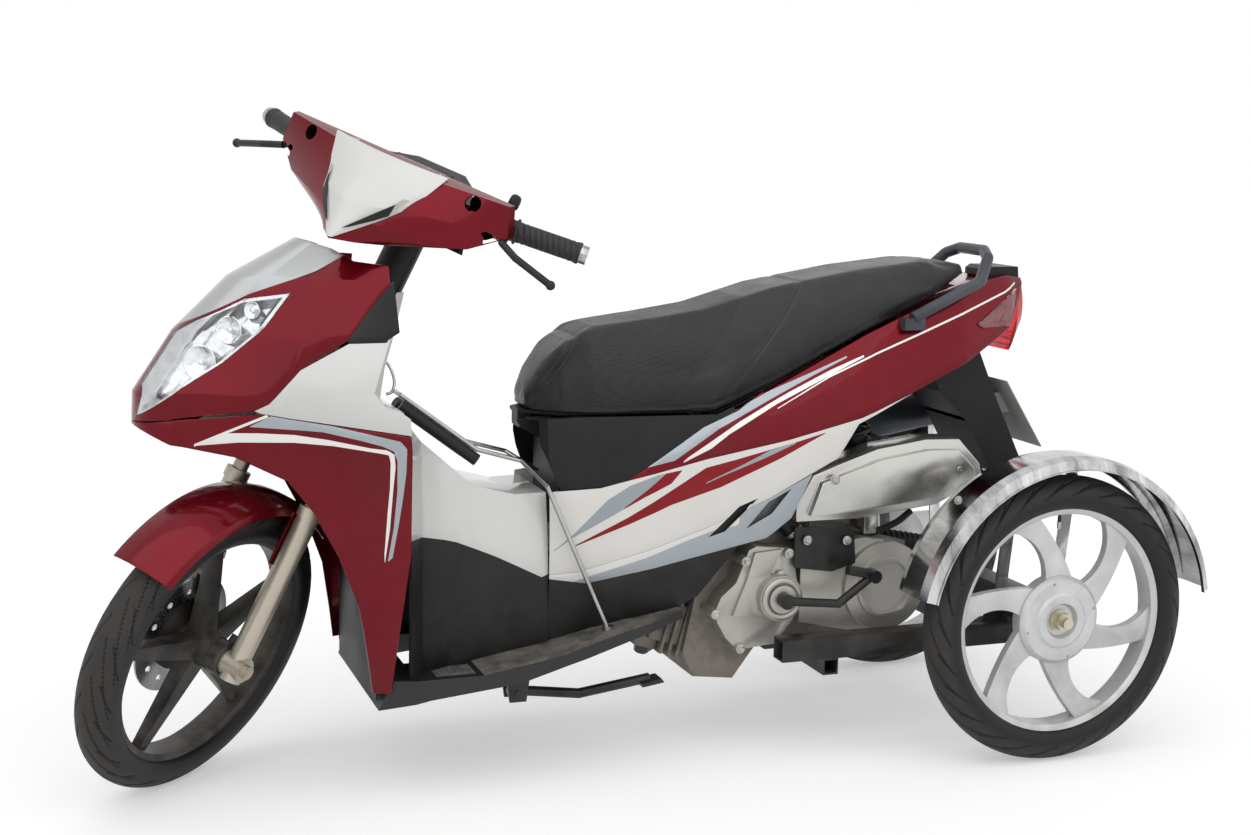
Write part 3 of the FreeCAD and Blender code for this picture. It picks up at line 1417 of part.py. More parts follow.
# ---------------------------------------------------------------- all pieces
PIECES = (
    ("main_frame", main_frame), ("front_shield", front_shield), ("nose_cowl", nose_cowl),
    ("nose_panel", nose_panel), ("headlight_lenses", headlight_lenses),
    ("headlight_bowls", headlight_bowls), ("leg_cover", leg_cover),
    ("tunnel_sides", tunnel_sides), ("glove_pockets", glove_pockets),
    ("inner_liner", inner_liner), ("floorboard", floorboard), ("side_covers", side_covers),
    ("side_fins", side_fins), ("lower_sides", lower_sides), ("seat_skirt", seat_skirt),
    ("tail_cover", tail_cover), ("tail_lamps", tail_lamps), ("tail_light", tail_light),
    ("tail_trim", tail_trim), ("grab_rail", grab_rail),
    ("rear_mudguard", rear_mudguard), ("number_plate", number_plate),
    ("engine_block", engine_block), ("crank_cover", crank_cover), ("belt_cover", belt_cover),
    ("air_box", air_box), ("exhaust", exhaust), ("shock_absorber", shock_absorber),
    ("kick_lever", kick_lever), ("engine_bracket", engine_bracket), ("kit_frame", kit_frame),
    ("rear_axle", rear_axle), ("rear_fenders", rear_fenders), ("carrier_rack", carrier_rack),
    ("rack_pads", rack_pads),
    ("stand_bracket", stand_bracket), ("side_stand", side_stand),
    ("storage_tub", storage_tub),
    ("seat_pan", seat_pan), ("seat_cushion", seat_cushion),
    ("fork_stem", fork_stem), ("fork_legs", fork_legs), ("speedometer_drive", speedometer_drive),
    ("front_fender", front_fender), ("brake_caliper", brake_caliper), ("handlebar", handlebar),
    ("grips", grips), ("levers", levers), ("bar_cover", bar_cover), ("rear_cover", rear_cover),
    ("visor", visor),
    ("front_rim", lambda: at_front(front_rim())), ("front_tyre", lambda: at_front(tyre())),
    ("front_disc", lambda: at_front(front_disc())),
    ("rear_rim_left", lambda: at_rear(rear_rim(), 1)),
    ("rear_tyre_left", lambda: at_rear(tyre(), 1)),
    ("rear_rim_right", lambda: at_rear(rear_rim(), -1)),
    ("rear_tyre_right", lambda: at_rear(tyre(), -1)),
)

os.makedirs("parts", exist_ok=True)
for name, build in PIECES:
    shape = build().translated(V(-axle_to_middle, 0, 0))
    shape.exportStep("parts/" + name + ".step")
    print(name, shape.isValid(), len(shape.Solids), round(shape.Volume / 1000), "cm3")
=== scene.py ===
"""Finishes and finer pieces of the trike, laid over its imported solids.

Places are given as stations: millimetres forward of the rear axle, to the left and above the
floor.  at() turns them into metres about the middle of the trike, where the solids are.
"""
from __future__ import annotations

import json
import logging
import math
from contextlib import contextmanager
from dataclasses import dataclass, field, replace
from enum import Enum
from functools import cache
from typing import Callable, Iterator, Sequence

import bmesh
import bpy
import numpy as np
from mathutils import Matrix, Vector
from mathutils.bvhtree import BVHTree

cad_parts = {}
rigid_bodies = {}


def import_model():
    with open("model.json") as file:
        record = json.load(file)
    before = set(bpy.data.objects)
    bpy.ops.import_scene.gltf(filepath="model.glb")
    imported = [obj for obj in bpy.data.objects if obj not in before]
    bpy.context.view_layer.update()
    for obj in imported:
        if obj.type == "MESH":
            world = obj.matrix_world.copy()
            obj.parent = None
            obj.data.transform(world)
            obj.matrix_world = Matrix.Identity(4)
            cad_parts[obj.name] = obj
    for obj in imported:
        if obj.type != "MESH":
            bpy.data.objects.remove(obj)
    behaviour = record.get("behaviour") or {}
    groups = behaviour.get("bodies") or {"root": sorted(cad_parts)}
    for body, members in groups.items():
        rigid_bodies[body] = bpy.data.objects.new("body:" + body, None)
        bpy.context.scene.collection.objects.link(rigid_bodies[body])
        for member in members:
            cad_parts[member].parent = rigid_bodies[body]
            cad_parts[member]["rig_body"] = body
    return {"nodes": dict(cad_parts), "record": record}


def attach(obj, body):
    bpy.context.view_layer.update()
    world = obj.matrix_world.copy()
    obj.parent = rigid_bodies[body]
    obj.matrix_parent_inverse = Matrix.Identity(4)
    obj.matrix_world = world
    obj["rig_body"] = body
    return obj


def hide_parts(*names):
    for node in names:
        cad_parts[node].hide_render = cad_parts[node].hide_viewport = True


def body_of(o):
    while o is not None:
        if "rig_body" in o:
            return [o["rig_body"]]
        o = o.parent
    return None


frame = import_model()

LOG = logging.getLogger("trike")
Array = np.ndarray
Colour = tuple[float, float, float, float]
Place = tuple[float, float, float]
MM = 1000.0
MIDDLE = np.array([700.0, 0.0, 0.0])
LEFT = (0.0, 1.0, 0.0)
UP = (0.0, 0.0, 1.0)
SIDES = ((1, "left"), (-1, "right"))
# the steering axis: a station on it, its way up, the way ahead square to it, and the turn in
# degrees that the bars are parked at
STEER_BASE = np.array((1605.0, 0.0, -8.01))
UP_AXIS = np.array((-0.44619781, 0.0, 0.89493436))
FORE_AXIS = np.array((0.89493436, 0.0, 0.44619781))
STEER_TURN = 45.5


def at(points: Sequence | Array) -> Array:
    """Turn stations into metres.

    Args:
        points: one (x, y, z) or an array whose last axis holds them, in millimetres.

    Returns:
        The same places in metres about the middle of the trike.
    """
    return (np.asarray(points, float) - MIDDLE) / MM


def turned(points: Sequence | Array, degrees: float = STEER_TURN) -> Array:
    """Turn stations about the steering axis: p*cos + (u x p)*sin + u*(u.p)*(1 - cos)."""
    away = np.asarray(points, float) - STEER_BASE
    angle = math.radians(degrees)
    return (away * math.cos(angle) + np.cross(UP_AXIS, away) * math.sin(angle)
            + (away @ UP_AXIS)[..., None] * UP_AXIS * (1 - math.cos(angle)) + STEER_BASE)


def on_fork(ahead: float, side: float, along: float) -> Array:
    """Station of a place given ahead of, beside and along the steering axis, bars turned."""
    return turned(STEER_BASE + FORE_AXIS * ahead + np.array((0, side, 0)) + UP_AXIS * along)


def unit(vector: Sequence | Array) -> Array:
    """Scale vectors to length one along their last axis."""
    vector = np.asarray(vector, float)
    return vector / np.linalg.norm(vector, axis=-1, keepdims=True)


def rgb(red: float, green: float, blue: float) -> Colour:
    """Linear colour with full alpha."""
    return (red, green, blue, 1.0)


def darker(colour: Colour, share: float) -> Colour:
    """The colour with its light cut to a share."""
    return rgb(*(value * share for value in colour[:3]))


WHITE = rgb(1.0, 1.0, 1.0)
DUST = rgb(0.33, 0.29, 0.24)
RUST_BROWN = rgb(0.10, 0.035, 0.015)
RUST_ORANGE = rgb(0.33, 0.13, 0.04)
RUST_RELIEF = 0.0004
# near-black painted shade for the bottoms of the grip's grooves and the seat's pierced holes
PAINTED_PIT_SHADE = rgb(0.004, 0.004, 0.004)
STRIPE_GREY = rgb(0.36, 0.40, 0.43)
STRIPE_WHITE = rgb(0.80, 0.79, 0.76)
STRIPE_RED = rgb(0.26, 0.006, 0.012)
FIN_GREY = rgb(0.42, 0.46, 0.50)


# ------------------------------------------------------------------ surfaces
@dataclass
class Patch:
    """Loose surface: points in metres, and four-sided faces by their corners."""

    points: Array
    quads: Array

    def steered(self, degrees: float = STEER_TURN) -> "Patch":
        """Copy of the patch, turned with the handlebars about the steering axis."""
        stations = self.points * MM + MIDDLE
        return Patch(at(turned(stations, degrees)), self.quads)

    def mirrored(self) -> "Patch":
        """Copy of the patch on the other side of the middle plane."""
        return Patch(self.points * np.array([1.0, -1.0, 1.0]), self.quads[:, ::-1])


def gathered(patches: Sequence[Patch]) -> Patch:
    """Put several patches into one.

    Args:
        patches: the patches.

    Returns:
        One patch with all their points and faces.
    """
    starts = np.cumsum([0] + [len(p.points) for p in patches])[:-1]
    return Patch(np.concatenate([p.points for p in patches]),
                 np.concatenate([p.quads + s for p, s in zip(patches, starts)]))


def grid(points: Array, close_u: bool = False, close_v: bool = False) -> Patch:
    """Skin a grid of points with quads: corner (i, j) joins (i+1, j), (i+1, j+1), (i, j+1).

    Args:
        points: array (nu, nv, 3) in metres.
        close_u: join the last row to the first.
        close_v: join the last column to the first.

    Returns:
        The skinned patch.
    """
    nu, nv = points.shape[:2]
    index = np.arange(nu * nv).reshape(nu, nv)
    right = np.roll(index, -1, 0)
    corners = np.stack([index, right, np.roll(right, -1, 1), np.roll(index, -1, 1)], -1)
    corners = corners[: nu if close_u else nu - 1, : nv if close_v else nv - 1]
    return Patch(points.reshape(-1, 3), corners.reshape(-1, 4))


def cross_axes(axis: Array) -> tuple[Array, Array]:
    """Two unit vectors square to each axis and to one another."""
    axis = unit(axis)
    other = np.where(np.abs(axis[..., 2:3]) < 0.9, np.array([0.0, 0.0, 1.0]),
                     np.array([1.0, 0.0, 0.0]))
    first = unit(np.cross(other, axis))
    return first, np.cross(axis, first)


def lathe(profile: Sequence, centre: Sequence | Array, axis: Sequence | Array,
          sides: int = 32, start: float = 0.0) -> Patch:
    """Turn a profile about an axis: point = centre + h*axis + r*(cos t*e1 + sin t*e2).

    Args:
        profile: (radius, height) pairs in millimetres, closed where it starts and ends at 0.
        centre: foot of the axis, as a station.
        axis: direction of the heights.
        sides: steps round the axis.
        start: angle of the first step, in degrees.

    Returns:
        The turned patch.
    """
    profile = np.asarray(profile, float) / MM
    turn = np.linspace(0, 2 * np.pi, sides, endpoint=False) + math.radians(start)
    first, second = cross_axes(np.asarray(axis, float))
    spoke = np.cos(turn)[:, None] * first + np.sin(turn)[:, None] * second
    points = (at(centre) + profile[None, :, 1:2] * unit(axis)
              + profile[None, :, 0:1] * spoke[:, None, :])
    return grid(points, close_u=True)


def turning(profile: Sequence, centre: Sequence | Array, axis: Sequence | Array,
            sides: int) -> Patch:
    """As lathe, with both ends of the profile drawn in to the axis."""
    return lathe([(0, profile[0][1]), *profile, (0, profile[-1][1])], centre, axis, sides)


def flowing(points: Sequence | Array, steps: int) -> Array:
    """Smooth line through points, by the cubic that keeps each point's mean slope.

    Args:
        points: the points, in any unit.
        steps: samples along the whole line.

    Returns:
        Array (steps, 3) along the line.
    """
    points = np.asarray(points, float)
    padded = np.vstack([2 * points[0] - points[1], points, 2 * points[-1] - points[-2]])
    place = np.linspace(0, len(points) - 1, steps)
    low = np.minimum(place.astype(int), len(points) - 2)
    t = (place - low)[:, None]
    p0, p1, p2, p3 = (padded[low + k] for k in range(4))
    return 0.5 * (2 * p1 + (p2 - p0) * t + (2 * p0 - 5 * p1 + 4 * p2 - p3) * t ** 2
                  + (3 * p1 - p0 - 3 * p2 + p3) * t ** 3)


def pipe(path: Array, radius: float | Array, sides: int = 12, closed: bool = False) -> Patch:
    """Carry a circle along a path: point = path + r*(cos t*e1 + sin t*e2).

    Args:
        path: array (n, 3) of stations.
        radius: one radius or one for each point, in millimetres.
        sides: steps round the pipe.
        closed: whether the path runs into its own start.

    Returns:
        A closed patch, with its ends drawn in to points where the path is open.
    """
    path = at(path)
    radius = np.broadcast_to(np.asarray(radius, float), (len(path),)) / MM
    if closed:
        tangent = unit(np.roll(path, -1, 0) - np.roll(path, 1, 0))
    else:
        tangent = unit(np.gradient(path, axis=0))
    spread = np.ptp(path, axis=0)
    flat = np.eye(3)[int(np.argmin(spread))]
    first = unit(np.cross(flat, tangent) + 1e-9)
    second = np.cross(tangent, first)
    turn = np.linspace(0, 2 * np.pi, sides, endpoint=False)
    ring = (np.cos(turn)[None, :, None] * first[:, None] + np.sin(turn)[None, :, None]
            * second[:, None])
    points = path[:, None] + radius[:, None, None] * ring
    if closed:
        return grid(points, close_u=True, close_v=True)
    ends = np.broadcast_to(path[[0, -1], None], (2, sides, 3))
    return grid(np.concatenate([ends[:1], points, ends[1:]]), close_v=True)


def slab(outline: Sequence, near: float, far: float, round_off: float = 0.6) -> Patch:
    """Thicken a side-view outline, with eased rims: rings drawn in at both faces.

    Args:
        outline: (station, height) corners in millimetres, of a shape that holds its middle.
        near: where one face lies across the trike, in millimetres.
        far: where the other face lies.
        round_off: how far the rims are drawn in.

    Returns:
        A closed patch.
    """
    flat = np.asarray(outline, float)
    middle = flat.mean(0)
    inset = middle + (flat - middle) * (1 - round_off / np.linalg.norm(
        flat - middle, axis=1, keepdims=True))
    step = round_off * np.sign(far - near)
    rings = [(np.broadcast_to(middle, flat.shape), near), (inset, near), (flat, near + step),
             (flat, far - step), (inset, far), (np.broadcast_to(middle, flat.shape), far)]
    points = np.stack([np.stack([ring[:, 0], np.full(len(ring), y), ring[:, 1]], -1)
                       for ring, y in rings])
    return grid(at(points), close_v=True)


# where a bolt's head starts above the face, in millimetres
WASHER = 1.2


def hex_head(centre: Sequence, axis: Sequence, across: float, height: float = 5.0,
             start: float = 0.0) -> Patch:
    """Bolt head with a chamfer, on a washer.

    Args:
        centre: where the washer rests, as a station.
        axis: which way the head points.
        across: width over the corners, in millimetres.
        height: height of the head.
        start: turn of the head, in degrees.

    Returns:
        The bolt head's patch.
    """
    r, top = across / 2, WASHER + height
    head = lathe([(0, 0), (r, 0), (r, WASHER + height * 0.8), (r * 0.82, top),
                  (0, WASHER + height * 0.96)], centre, axis, 6, start)
    ring = turning([(r * 1.35, -0.4), (r * 1.45, 0), (r * 1.45, 1.0), (r * 1.35, 1.3)],
                   centre, axis, 28)
    return gathered([head, ring])


def pan_head(centre: Sequence, axis: Sequence, radius: float) -> Patch:
    """Round screw head with a sunk middle, turned from its profile."""
    return turning([(radius, -0.5), (radius, 0.5), (radius * 0.8, 1.5),
                    (radius * 0.45, 1.7), (radius * 0.4, 0.6)], centre, axis, 20)


def linked(name: str, data: bpy.types.ID) -> bpy.types.Object:
    """New object in the scene, of a mesh, a lamp or a camera."""
    made = bpy.data.objects.new(name, data)
    bpy.context.scene.collection.objects.link(made)
    return made


@contextmanager
def welded(mesh: bpy.types.Mesh, distance: float) -> Iterator[bmesh.types.BMesh]:
    """Join the mesh's points that are closer than a distance; hold it open for more."""
    form = bmesh.new()
    form.from_mesh(mesh)
    bmesh.ops.remove_doubles(form, verts=form.verts, dist=distance)
    yield form
    form.to_mesh(mesh)
    form.free()


def apply_modifiers(piece: bpy.types.Object) -> None:
    """Make the modifiers' result the piece's own mesh."""
    graph = bpy.context.evaluated_depsgraph_get()
    made = bpy.data.meshes.new_from_object(piece.evaluated_get(graph), depsgraph=graph)
    piece.modifiers.clear()
    old, piece.data = piece.data, made
    bpy.data.meshes.remove(old)
    made.name = piece.name


# points closer than this are one point, in metres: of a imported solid, and of a patch
SOLID_WELD = 1e-5
PATCH_WELD = 2e-6


class Shade(Enum):
    """How a piece's faces are shaded."""

    SMOOTH = 180.0
    CREASED = 38.0


def add_piece(name: str, patch: Patch, body: str, finish: "Finish",
              shade: Shade = Shade.CREASED, replaces: Sequence[str] = ()) -> bpy.types.Object:
    """Make an object from a patch, tidy its faces, dress it and seat it on its body.

    Args:
        name: the piece's name.
        patch: its surface in metres.
        body: the body that it moves with.
        finish: what it is finished in.
        shade: whether sharp edges stay sharp.
        replaces: the solids that it stands for.

    Returns:
        The new object.
    """
    mesh = bpy.data.meshes.new(name)
    mesh.from_pydata(patch.points.tolist(), [], patch.quads.tolist())
    with welded(mesh, PATCH_WELD) as form:
        bmesh.ops.recalc_face_normals(form, faces=form.faces)
    mesh.shade_smooth()
    if shade is Shade.CREASED:
        mesh.set_sharp_from_angle(angle=math.radians(shade.value))
    mesh.materials.append(finish.material())
    piece = linked(name, mesh)
    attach(piece, body)
    if replaces:
        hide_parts(*replaces)
    LOG.info("%s: %d faces on %s", name, len(mesh.polygons), body)
    return piece


# ------------------------------------------------------------------ node sheets
Socket = bpy.types.NodeSocket
Term = float | Socket


class NodeSheet:
    """Short ways to lay out one node tree."""

    def __init__(self, tree: bpy.types.NodeTree) -> None:
        """Keep the tree and start at its left."""
        self.tree = tree
        self.count = 0

    @classmethod
    def cleared(cls, owner: bpy.types.Material | bpy.types.World) -> "NodeSheet":
        """Empty sheet of a material or of the sky."""
        owner.use_nodes = True
        owner.node_tree.nodes.clear()
        return cls(owner.node_tree)

    def add(self, kind: str, **settings) -> bpy.types.Node:
        """Add a node of a kind, with its settings, to the right of the last one."""
        node = self.tree.nodes.new(f"ShaderNode{kind}" if kind[:5] != "NodeG" else kind)
        node.location = (190 * (self.count % 12), -230 * (self.count // 12))
        self.count += 1
        for key, value in settings.items():
            setattr(node, key, value)
        return node

    def put(self, socket: Socket, value: Term | Sequence) -> None:
        """Link a socket to another one, or give it a fixed value."""
        if isinstance(value, bpy.types.NodeSocket):
            self.tree.links.new(value, socket)
        else:
            socket.default_value = value

    def feed(self, sockets: bpy.types.NodeInputs, **values) -> None:
        """Put a value into each named socket; an underscore stands for a space."""
        for name, value in values.items():
            self.put(sockets[name.replace("_", " ")], value)

    def principled(self) -> bpy.types.NodeInputs:
        """Shader on the material's surface; returns what it takes."""
        shader = self.add("BsdfPrincipled")
        self.feed(self.add("OutputMaterial").inputs, Surface=shader.outputs[0])
        return shader.inputs

    def math(self, operation: str, *terms: Term) -> Socket:
        """Math node on one, two or three terms."""
        node = self.add("Math", operation=operation)
        for socket, term in zip(node.inputs, terms):
            self.put(socket, term)
        return node.outputs[0]

    def times(self, first: Term, second: Term) -> Socket:
        """Product of two terms."""
        return self.math("MULTIPLY", first, second)

    def plus(self, first: Term, second: Term) -> Socket:
        """Sum of two terms."""
        return self.math("ADD", first, second)

    def minus(self, first: Term, second: Term) -> Socket:
        """Difference of two terms."""
        return self.math("SUBTRACT", first, second)

    def vector(self, operation: str, first: Socket, second: Sequence[float]) -> bpy.types.Node:
        """Vector math node on a linked and a fixed vector."""
        node = self.add("VectorMath", operation=operation)
        self.put(node.inputs[0], first)
        self.put(node.inputs[1], tuple(second))
        return node

    def dot(self, vector: Socket, direction: Sequence[float]) -> Socket:
        """Distance of each point along a direction."""
        return self.vector("DOT_PRODUCT", vector, direction).outputs["Value"]

    def noise(self, vector: Socket, scale: Term, detail: float = 3.0,
              rough: float = 0.55) -> Socket:
        """Cloudy noise between 0 and 1."""
        node = self.add("TexNoise")
        self.feed(node.inputs, Vector=vector, Scale=scale, Detail=detail, Roughness=rough)
        return node.outputs[0]

    def cells(self, vector: Socket, scale: Term, jumble: float = 1.0,
              feature: str = "F1") -> Socket:
        """Distance to the nearest of scattered points, or to the edge of its cell."""
        node = self.add("TexVoronoi", feature=feature)
        self.feed(node.inputs, Vector=vector, Scale=scale, Randomness=jumble)
        return node.outputs["Distance"]

    def spread(self, value: Socket, low: Term, high: Term, to_low: Term = 0.0,
               to_high: Term = 1.0) -> Socket:
        """Stretch a value from one range to another, held inside it."""
        node = self.add("MapRange")
        for socket, term in zip(node.inputs[:5], (value, low, high, to_low, to_high)):
            self.put(socket, term)
        return node.outputs[0]

    def mixed(self, share: Term, first: Socket | Colour, second: Socket | Colour) -> Socket:
        """Blend two colours."""
        node = self.add("Mix", data_type="RGBA")
        for place, term in ((0, share), (6, first), (7, second)):
            self.put(node.inputs[place], term)
        return node.outputs[2]

    def stretched(self, vector: Socket, scale: Sequence[float]) -> Socket:
        """Scale the pattern's own space."""
        node = self.add("Mapping")
        self.feed(node.inputs, Vector=vector, Scale=tuple(scale))
        return node.outputs[0]

    def bump(self, height: Socket, depth: float, strength: float = 1.0,
             below: Socket | None = None) -> Socket:
        """Normal of a relief whose full height is depth, in metres."""
        node = self.add("Bump")
        self.feed(node.inputs, Strength=strength, Distance=depth, Height=height)
        if below is not None:
            self.feed(node.inputs, Normal=below)
        return node.outputs[0]

    def effect(self, tree: bpy.types.NodeTree, **inputs) -> bpy.types.NodeOutputs:
        """Place a shared effect with its own values; returns what it gives."""
        node = self.add("Group", node_tree=tree)
        self.feed(node.inputs, **inputs)
        return node.outputs

    def place(self) -> Socket:
        """The object's own coordinates, in metres."""
        return self.add("TexCoord").outputs["Object"]


def shared(name: str, inputs: str, outputs: str) -> Callable:
    """Turn a layout into an effect that finishes share: a node group, built at its first use.

    Args:
        name: the group's name.
        inputs: names of its inputs, with commas between them.
        outputs: names of its outputs.

    Returns:
        A decorator for layouts, which take the group's sheet s, its inputs i and outputs o.
    """
    def kind(key: str) -> str:
        """Socket type that a name stands for."""
        if key == "Vector":
            return "NodeSocketVector"
        return "NodeSocketColor" if key.endswith("Colour") else "NodeSocketFloat"

    def wrap(layout: Callable) -> Callable[[], bpy.types.NodeTree]:
        """Give the layout its group."""
        @cache
        def group() -> bpy.types.NodeTree:
            """The effect's node group."""
            tree = bpy.data.node_groups.new(name, "ShaderNodeTree")
            for way, keys in (("INPUT", inputs), ("OUTPUT", outputs)):
                for key in keys.split(", "):
                    tree.interface.new_socket(name=key, in_out=way, socket_type=kind(key))
            sheet = NodeSheet(tree)
            source = sheet.add("NodeGroupInput").outputs
            layout(sheet, source, sheet.add("NodeGroupOutput").inputs)
            return tree
        return group
    return wrap


class Effects:
    """Surface effects that several finishes share."""

    @shared("Road Dust", "Vector, Colour, Dust Colour, Level, Scale, Amount, Roughness",
            "Colour, Roughness, Mask")
    def dust(s: NodeSheet, i: dict, o: dict) -> None:
        """Mask = clouds x fade with height x amount; it is thick near the floor, and dull."""
        height = s.dot(i["Vector"], (0, 0, 1))
        fade = s.spread(height, i["Level"], 0.0)
        clouds = s.spread(s.noise(i["Vector"], i["Scale"], 5.0, 0.62), 0.32, 0.72)
        near = s.times(s.plus(fade, 0.22), clouds)
        mask = s.math("MINIMUM", s.times(near, i["Amount"]), 1.0)
        s.feed(o, Colour=s.mixed(mask, i["Colour"], i["Dust Colour"]), Mask=mask,
               Roughness=s.plus(i["Roughness"], s.times(mask, 0.35)))

    @shared("Moulded Grain", "Vector, Scale, Roughness", "Height, Roughness, Shade")
    def moulded(s: NodeSheet, i: dict, o: dict) -> None:
        """Height = small cells softened by noise; sheen follows a slow cloud."""
        pits = s.spread(s.cells(i["Vector"], i["Scale"]), 0.0, 0.7)
        fine = s.noise(i["Vector"], s.times(i["Scale"], 2.3), 2.0)
        slow = s.noise(i["Vector"], 9.0, 4.0)
        s.feed(o, Height=s.plus(s.times(pits, 0.7), s.times(fine, 0.3)), Shade=slow,
               Roughness=s.spread(slow, 0.3, 0.7, s.minus(i["Roughness"], 0.06),
                                  s.plus(i["Roughness"], 0.07)))

    @shared("Metal Flake", "Vector, Scale, Spark, Colour, Deep Colour, Flake Colour", "Colour")
    def flake(s: NodeSheet, i: dict, o: dict) -> None:
        """Flake under lacquer: sparks come from small cells, depth drifts with slow noise."""
        sparks = s.spread(s.cells(i["Vector"], i["Scale"]), 0.22, 0.05)
        drift = s.spread(s.noise(i["Vector"], 3.5, 2.0), 0.35, 0.65)
        deep = s.mixed(s.times(drift, 0.5), i["Colour"], i["Deep Colour"])
        s.feed(o, Colour=s.mixed(s.times(sparks, i["Spark"]), deep, i["Flake Colour"]))

    @shared("Cast Skin", "Vector, Scale, Stain, Roughness, Colour, Stain Colour",
            "Height, Stain, Colour, Roughness")
    def casting(s: NodeSheet, i: dict, o: dict) -> None:
        """Height = coarse and fine noise; oily stains lie where a slow cloud is thick."""
        coarse = s.noise(i["Vector"], i["Scale"], 4.0, 0.6)
        fine = s.cells(i["Vector"], s.times(i["Scale"], 2.2))
        cloud = s.noise(i["Vector"], 14.0, 6.0, 0.68)
        stain = s.spread(cloud, s.minus(0.8, i["Stain"]), 0.82)
        s.feed(o, Height=s.plus(coarse, s.times(fine, 0.4)), Stain=stain,
               Colour=s.mixed(stain, i["Colour"], i["Stain Colour"]),
               Roughness=s.plus(i["Roughness"], s.times(s.plus(stain, coarse), 0.22)))

    @shared("Rust Bloom", "Vector, Scale, Amount, Roughness, Colour",
            "Colour, Bare, Roughness, Height")
    def rust(s: NodeSheet, i: dict, o: dict) -> None:
        """Bloom where a rough cloud passes a threshold; its colour drifts to orange."""
        cloud = s.noise(i["Vector"], i["Scale"], 7.0, 0.7)
        mask = s.spread(cloud, s.minus(0.78, i["Amount"]), 0.8)
        warm = s.mixed(s.noise(i["Vector"], 160.0, 3.0), RUST_BROWN, RUST_ORANGE)
        s.feed(o, Colour=s.mixed(mask, i["Colour"], warm), Bare=s.minus(1.0, mask),
               Roughness=s.plus(i["Roughness"], s.times(mask, 0.5)),
               Height=s.times(mask, cloud))

    @shared("Handling Marks", "Vector, Scale, Roughness", "Roughness, Height")
    def handling(s: NodeSheet, i: dict, o: dict) -> None:
        """Smears from a slow cloud, scuffs from a noise drawn out one way."""
        smear = s.noise(i["Vector"], i["Scale"], 4.0, 0.6)
        drawn = s.stretched(i["Vector"], (14.0, 260.0, 260.0))
        scuff = s.spread(s.noise(drawn, 1.0, 3.0, 0.7), 0.58, 0.75)
        marks = s.plus(s.times(smear, 0.10), s.times(scuff, 0.10))
        s.feed(o, Roughness=s.plus(i["Roughness"], marks), Height=scuff)


# ------------------------------------------------------------------ stripes
# room above and below a stripe in its curves' scale, in millimetres
CURVE_MARGIN = 2


class Run(Enum):
    """Which way a stripe runs in side view."""

    ALONG = (0, 2)
    UP = (2, 0)


@dataclass(frozen=True)
class Band:
    """Stripe between two lines in side view, the same on both sides of the trike.

    low and high hold (place along the run, edge across it) in millimetres, in rising order.
    """

    run: Run
    low: tuple[tuple[float, float], ...]
    high: tuple[tuple[float, float], ...]

    def _edge(self, sheet: NodeSheet, share: Socket, line: Sequence, start: float, end: float,
              bottom: float, top: float) -> Socket:
        """Curve of one edge, both of its scales taken to 0..1."""
        node = sheet.add("FloatCurve")
        sheet.feed(node.inputs, Value=share)
        curve = node.mapping.curves[0]
        spots = [((p - start) / (end - start), (q - bottom) / (top - bottom)) for p, q in line]
        curve.points[0].location = spots[0]
        curve.points[-1].location = spots[-1]
        for spot in spots[1:-1]:
            curve.points.new(*spot)
        for point in curve.points:
            point.handle_type = "VECTOR"
        node.mapping.update()
        return node.outputs[0]

    def mask(self, sheet: NodeSheet, vector: Socket) -> Socket:
        """Lay out the stripe's mask.

        Args:
            sheet: the material's nodes.
            vector: object coordinates.

        Returns:
            1 inside the stripe, 0 outside.
        """
        spots = np.array(self.low + self.high)
        start, end = spots[:, 0].min(), spots[:, 0].max()
        bottom, top = spots[:, 1].min() - CURVE_MARGIN, spots[:, 1].max() + CURVE_MARGIN
        along_axis, across_axis = self.run.value
        along = sheet.dot(vector, np.eye(3)[along_axis] * MM)
        across = sheet.dot(vector, np.eye(3)[across_axis] * MM)
        share = sheet.math("DIVIDE", sheet.minus(along, start - MIDDLE[along_axis]),
                           end - start)
        level = sheet.math("DIVIDE", sheet.minus(across, bottom - MIDDLE[across_axis]),
                           top - bottom)
        over = sheet.math("GREATER_THAN", level,
                          self._edge(sheet, share, self.low, start, end, bottom, top))
        under = sheet.math("LESS_THAN", level,
                           self._edge(sheet, share, self.high, start, end, bottom, top))
        inside = sheet.times(sheet.math("GREATER_THAN", share, 0.0),
                             sheet.math("LESS_THAN", share, 1.0))
        return sheet.times(sheet.times(over, under), inside)


@dataclass(frozen=True)
class Stripe:
    """Stripes of one colour."""

    colour: Colour
    bands: tuple[Band, ...]


def laid_on(sheet: NodeSheet, vector: Socket, base: Socket | Colour,
            stripes: Sequence[Stripe]) -> Socket | Colour:
    """Lay stripes over a colour, the later ones on top."""
    colour = base
    for stripe in stripes:
        for band in stripe.bands:
            colour = sheet.mixed(band.mask(sheet, vector), colour, stripe.colour)
    return colour


# ------------------------------------------------------------------ finishes
@dataclass(frozen=True)
class Finish:
    """A finish by name; material() builds it once."""

    name: str

    def material(self) -> bpy.types.Material:
        """The finish's material, built at its first use."""
        made = bpy.data.materials.get(self.name)
        if made is None:
            made = bpy.data.materials.new(self.name)
            sheet = NodeSheet.cleared(made)
            self.lay_out(sheet, sheet.principled(), sheet.place())
        return made

    def lay_out(self, sheet: NodeSheet, shader: bpy.types.NodeInputs, place: Socket) -> None:
        """Lay out the nodes between the object's coordinates and the shader."""
        raise NotImplementedError


